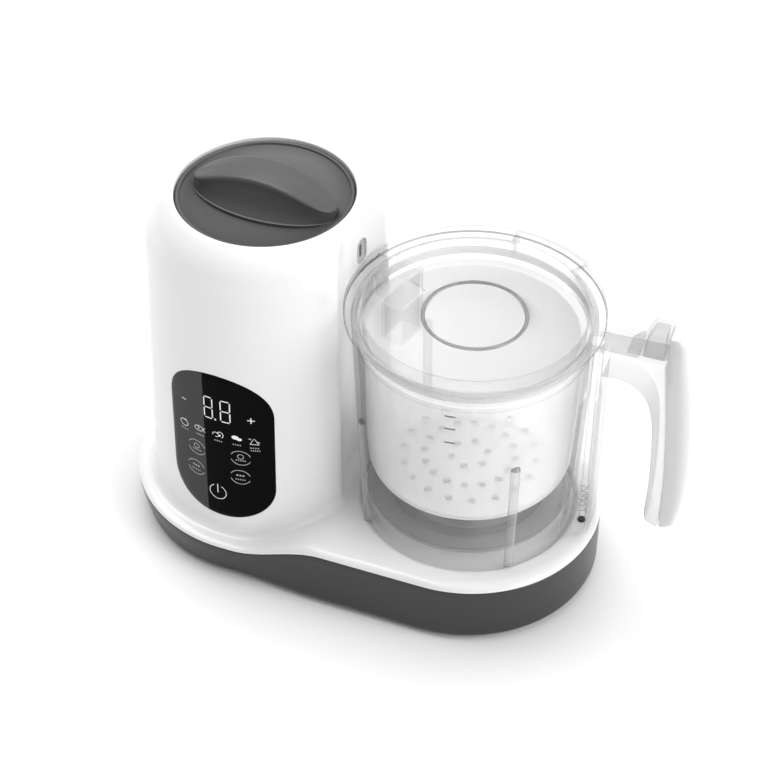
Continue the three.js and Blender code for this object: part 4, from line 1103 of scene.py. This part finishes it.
def basket():
    floor, rim, wall = BASKET["floor"], BASKET["rim"], BASKET["wall"]
    r, floor_r = BASKET["r"], BASKET["floor_r"]
    ledge = LEDGE_Z + 0.3
    corner, bend = (floor_r - 1, floor + 8.7), 8.7
    outer = [[AXIS, floor], [floor_r - 6, floor], *arc(corner, bend, -90, -8, 10)[1:]]
    outer += [[r - 0.7, floor + 18], [r, ledge - 2], [r, ledge], [MOUTH_INNER_R - 0.9, ledge]]
    outer += [[MOUTH_INNER_R - 0.5, ledge + 0.4], [MOUTH_INNER_R - 0.5, rim - 0.4]]
    outer += [[MOUTH_INNER_R - 0.9, rim]]
    inner = [[r - wall + 0.4, rim], [r - wall, rim - 0.4], [r - wall - 0.6, floor + 18]]
    inner += [*arc(corner, bend - wall, -8, -90, 10), [floor_r - 6, floor + wall], [AXIS, floor + wall]]
    looks = [FROSTED, HOLE_SHADE]
    cup = turned(outer + inner, 180)
    made = make("steam_basket_cup", *cup, looks, "basket", ["steam_basket"], "frosted", 40, JUG_PLACE)
    holes = []
    for radius, count in ((9, 6), (22, 16), (32, 18)):
        for i in range(count):
            a = 2 * math.pi * (i + 0.5) / count
            spot = (radius * math.cos(a), radius * math.sin(a))
            holes.append(cylinder(1.9, floor - 2, floor + 5, spot, 20))
    boolean(made, *joined(*holes), place=JUG_PLACE, sharp=40)

    def in_hole(x, y, z):
        return floor + 0.1 < z < floor + wall - 0.1 and math.hypot(x - JUG_X, y) < 36

    # the hole walls get the painted shade
    paint(made, 1, in_hole)


# ---------- lid ----------
LID = {"r": 59.9, "flange": 149.9, "top": 154.4, "skirt": 53.6, "inner": 51.4, "plate": 141,
       "boss_r": 24.8, "boss_foot": 32, "boss": 148.6}
DUCT = {"near": 34.4, "chute": 46.4, "far": 51.6, "width": 18, "low": 118, "top": 153.8, "wall": 1.4}
DUCT_TURN = math.radians(168) - HANDLE_TURN


def lid_profile():
    top, flange, plate = LID["top"], LID["flange"], LID["plate"]
    r, skirt_r, inner, boss = LID["r"], LID["skirt"], LID["inner"], LID["boss"]
    boss_r, boss_foot = LID["boss_r"], LID["boss_foot"]
    under = plate - 1.8
    boss_top = [[AXIS, boss - 3], [boss_r - 2.6, boss - 3], [boss_r - 2, boss - 2.6]]
    boss_top += [[boss_r - 2, boss - 0.5]]
    boss_top += arc((boss_r - 1, boss - 0.6), 0.9, 180, 0, 6)
    flare = bezier((boss_r + 0.2, boss - 1.2), (boss_r + 1.5, boss - 4), (boss_foot - 3, plate + 1.2),
                   (boss_foot + 1, plate), 8)
    shelf = [[boss_foot + 1, plate], [inner - 1, plate], [inner, plate + 1], [inner, top - 1.2]]
    rim = arc((inner + 1.2, top - 1.2), 1.2, 180, 90, 5) + arc((r - 1.2, top - 1.2), 1.2, 90, 0, 5)
    lower = [[r, flange + 0.8], [r - 0.7, flange], [skirt_r, flange]]
    lower += [[skirt_r, 147.2], [skirt_r - 0.9, 147.2]]
    lower += [[skirt_r - 0.9, under + 0.5], [skirt_r - 1.4, under], [boss_foot - 1.2, under]]
    lower += [[boss_r - 3.6, boss - 4.8], [AXIS, boss - 4.8]]
    return boss_top + flare + shelf + rim + lower


def slot_block(near, far, width, low, high, edge=0.0):
    """A block along the steam duct's direction, between two distances from the jug's axis."""
    half = width / 2
    plan = rounded([[near, -half], [far, -half], [far, half], [near, half]], max(edge, 0.01), 3)
    turn = Matrix.Rotation(DUCT_TURN, 2)
    return prism([list(turn @ Vector(p)) for p in plan], low, high)


def lid():
    """Clear lid: rim, sunk plate, raised boss, steam duct, tongue, rear tab and the hollow thumb nub."""
    looks = [CLEAR_LID, CLEAR_EDGE_SHADE, DARK_LINE_SHADE, CLEAR_THICK]
    edge, line, thick = 1, 2, 3  # places in that list; edge and line are painted refraction shade, thick is the thick clear plastic
    disc = turned(lid_profile(), 200)
    made = make("lid_clear_disc", *disc, looks, "jug_lid", ["lid"], "clear", 30, JUG_PLACE)
    d = DUCT
    wall = d["wall"]
    nub = [[72, 151.6], [90.6, 151.6], [90.6, 165.8], [81.5, 165.8], [77.5, 157]]
    nub = rounded(nub, [0.3, 0.4, 1, 2, 5])
    hollow = [[79.6, 150], [88.8, 150], [88.8, 164.2], [82.6, 164.2], [79.4, 157]]
    hollow = rounded(hollow, [0.1, 0.1, 0.8, 1.4, 3])
    nub_walls = joined(strip_solid(nub, 6, 0.25), strip_solid(hollow, 4.4, 0.08))
    make("lid_thumb_nub", *nub_walls, CLEAR_THICK, "jug_lid", (), "clear", 30, JUG_PLACE)
    tongue = rounded([[57, -8], [78, -8], [78, 8], [57, 8]], [0.1, 1.5, 1.5, 0.1])
    unions = [
        slot_block(d["near"], d["chute"], d["width"], d["low"], LID["plate"] + 0.3, 1.5),
        slot_block(d["near"], d["far"], d["width"], LID["plate"] - 1.7, d["top"], 1.5),
        prism(tongue, 151.6, 154.2),
        arc_slice(59, 67.4, 0, 151.8, LID["top"] - 0.2, 54, 96),
    ]
    for solid in unions:
        boolean(made, *solid, operation="UNION", place=JUG_PLACE, sharp=30)
    near, width = d["near"] + wall, d["width"] - 2 * wall
    cuts = [
        slot_block(near, d["chute"] - wall, width, d["low"] - 1, LID["plate"] + 1),
        slot_block(near, d["far"] - wall, width, LID["plate"], d["top"] - wall),
        slot_block(49, 62, 14, 150.4, 152.4),
    ]
    for solid in cuts:
        boolean(made, *solid, place=JUG_PLACE, sharp=30)

    def near_ring(x, y, z, radius, height, reach):
        return math.hypot(math.hypot(x - JUG_X, y) - radius, z - height) < reach

    r, top, flange = LID["r"], LID["top"], LID["flange"]
    # painted refraction shade on the rounded corners of the lid's rim
    paint(made, edge, lambda x, y, z: near_ring(x, y, z, r - 0.6, top - 0.6, 1.0))
    paint(made, edge, lambda x, y, z: near_ring(x, y, z, LID["inner"] + 0.6, top - 0.6, 1.0))
    # painted dark refraction lines under the flange and round the boss
    paint(made, line, lambda x, y, z: near_ring(x, y, z, r - 0.35, flange + 0.4, 0.4))
    paint(made, line, lambda x, y, z: near_ring(x, y, z, LID["boss_r"] - 1, LID["boss"], 1.2))
    paint(made, thick, lambda x, y, z: x - JUG_X > HANDLE_X - 1)


def seal():
    """Silicone ring in the lid's groove, with two soft lips."""
    inner, outer = LID["skirt"] - 0.6, MOUTH_INNER_R - 0.25
    profile = [[inner, 142.0]]
    for low, high in ((142.0, 143.6), (144.6, 146.4)):
        profile += [[outer - 0.5, low], [outer, low + 0.5], [outer, high - 0.5], [outer - 0.5, high]]
    profile += [[inner, 146.4]]
    make("lid_seal_ring", *turned(profile, 180), SILICONE, "seal", ["lid_seal"], "silicone", 30, JUG_PLACE)


def nozzle():
    """Silicone plug in the tower's hollow with the slit that the steam comes out of."""
    near = SCOOP_R + 0.9
    plug = port_solid(3.6, 6.6, near, near + 3.5)
    made = make("steam_nozzle_plug", *plug, SILICONE, "base", ["steam_nozzle"], "silicone")
    boolean(made, *port_solid(0.9, 3.6, near - 2, near + 6))


housing()
panel()
skirt()
bottom()
feet()
gland()
cap()
jug()
handle()
scale_prints()
basket()
lid()
seal()
nozzle()


# ---------- stage, light and camera ----------
def stage():
    """A wide pale floor at the height of the feet."""
    size = 12
    mesh = bpy.data.meshes.new("floor")
    corners = [(-size, -size, 0), (size, -size, 0), (size, size, 0), (-size, size, 0)]
    mesh.from_pydata(corners, [], [(0, 1, 2, 3)])
    floor = bpy.data.objects.new("floor", mesh)
    bpy.context.scene.collection.objects.link(floor)
    white = add_grain(material("floor_white", (0.83, 0.83, 0.83), 0.9), 40, 0.02, 0.85, 0.95)
    white.node_tree.nodes["Principled BSDF"].inputs["Specular IOR Level"].default_value = 0.0
    mesh.materials.append(white)


def world():
    """Even white surroundings, a little dimmer in front."""
    made = bpy.data.worlds.new("studio")
    bpy.context.scene.world = made
    made.use_nodes = True
    tree = made.node_tree
    back = tree.nodes["Background"]
    place = node(tree, "ShaderNodeTexCoord", (-900, 0))
    split = node(tree, "ShaderNodeSeparateXYZ", (-700, 0))
    front = node(tree, "ShaderNodeMapRange", (-450, 100))
    front.inputs["From Min"].default_value = -1
    front.inputs["From Max"].default_value = 0.6
    front.inputs["To Min"].default_value = 0.24
    front.inputs["To Max"].default_value = 1.0
    link = tree.links.new
    link(place.outputs["Generated"], split.inputs["Vector"])
    link(split.outputs["Y"], front.inputs["Value"])
    link(front.outputs["Result"], back.inputs["Strength"])
    back.inputs["Color"].default_value = (1, 1, 1, 1)


def sun(name, energy, direction, spread):
    """A soft sun that shines along a direction; spread is its width in degrees."""
    light = bpy.data.lights.new(name, "SUN")
    light.energy = energy
    light.angle = math.radians(spread)
    made = bpy.data.objects.new(name, light)
    bpy.context.scene.collection.objects.link(made)
    made.rotation_euler = Vector(direction).to_track_quat("-Z", "Y").to_euler()


def camera():
    view = bpy.data.cameras.new("camera")
    view.lens = 99.47
    view.sensor_width = 36
    view.clip_start = 0.05
    view.clip_end = 60
    made = bpy.data.objects.new("camera", view)
    bpy.context.scene.collection.objects.link(made)
    made.location = Vector((JUG_X + 256.07, -687.40, 758.86)) * MM
    made.rotation_euler = (math.radians(48.4), 0, math.radians(23.8))
    bpy.context.scene.camera = made


stage()
world()
sun("key", 2.0, (0.3, -0.2, -1), 50)
sun("right", 1.9, (-1, 0.05, -0.5), 45)
camera()
bpy.context.scene.view_settings.view_transform = "Standard"
bpy.context.scene.cycles.transparent_max_bounces = 32
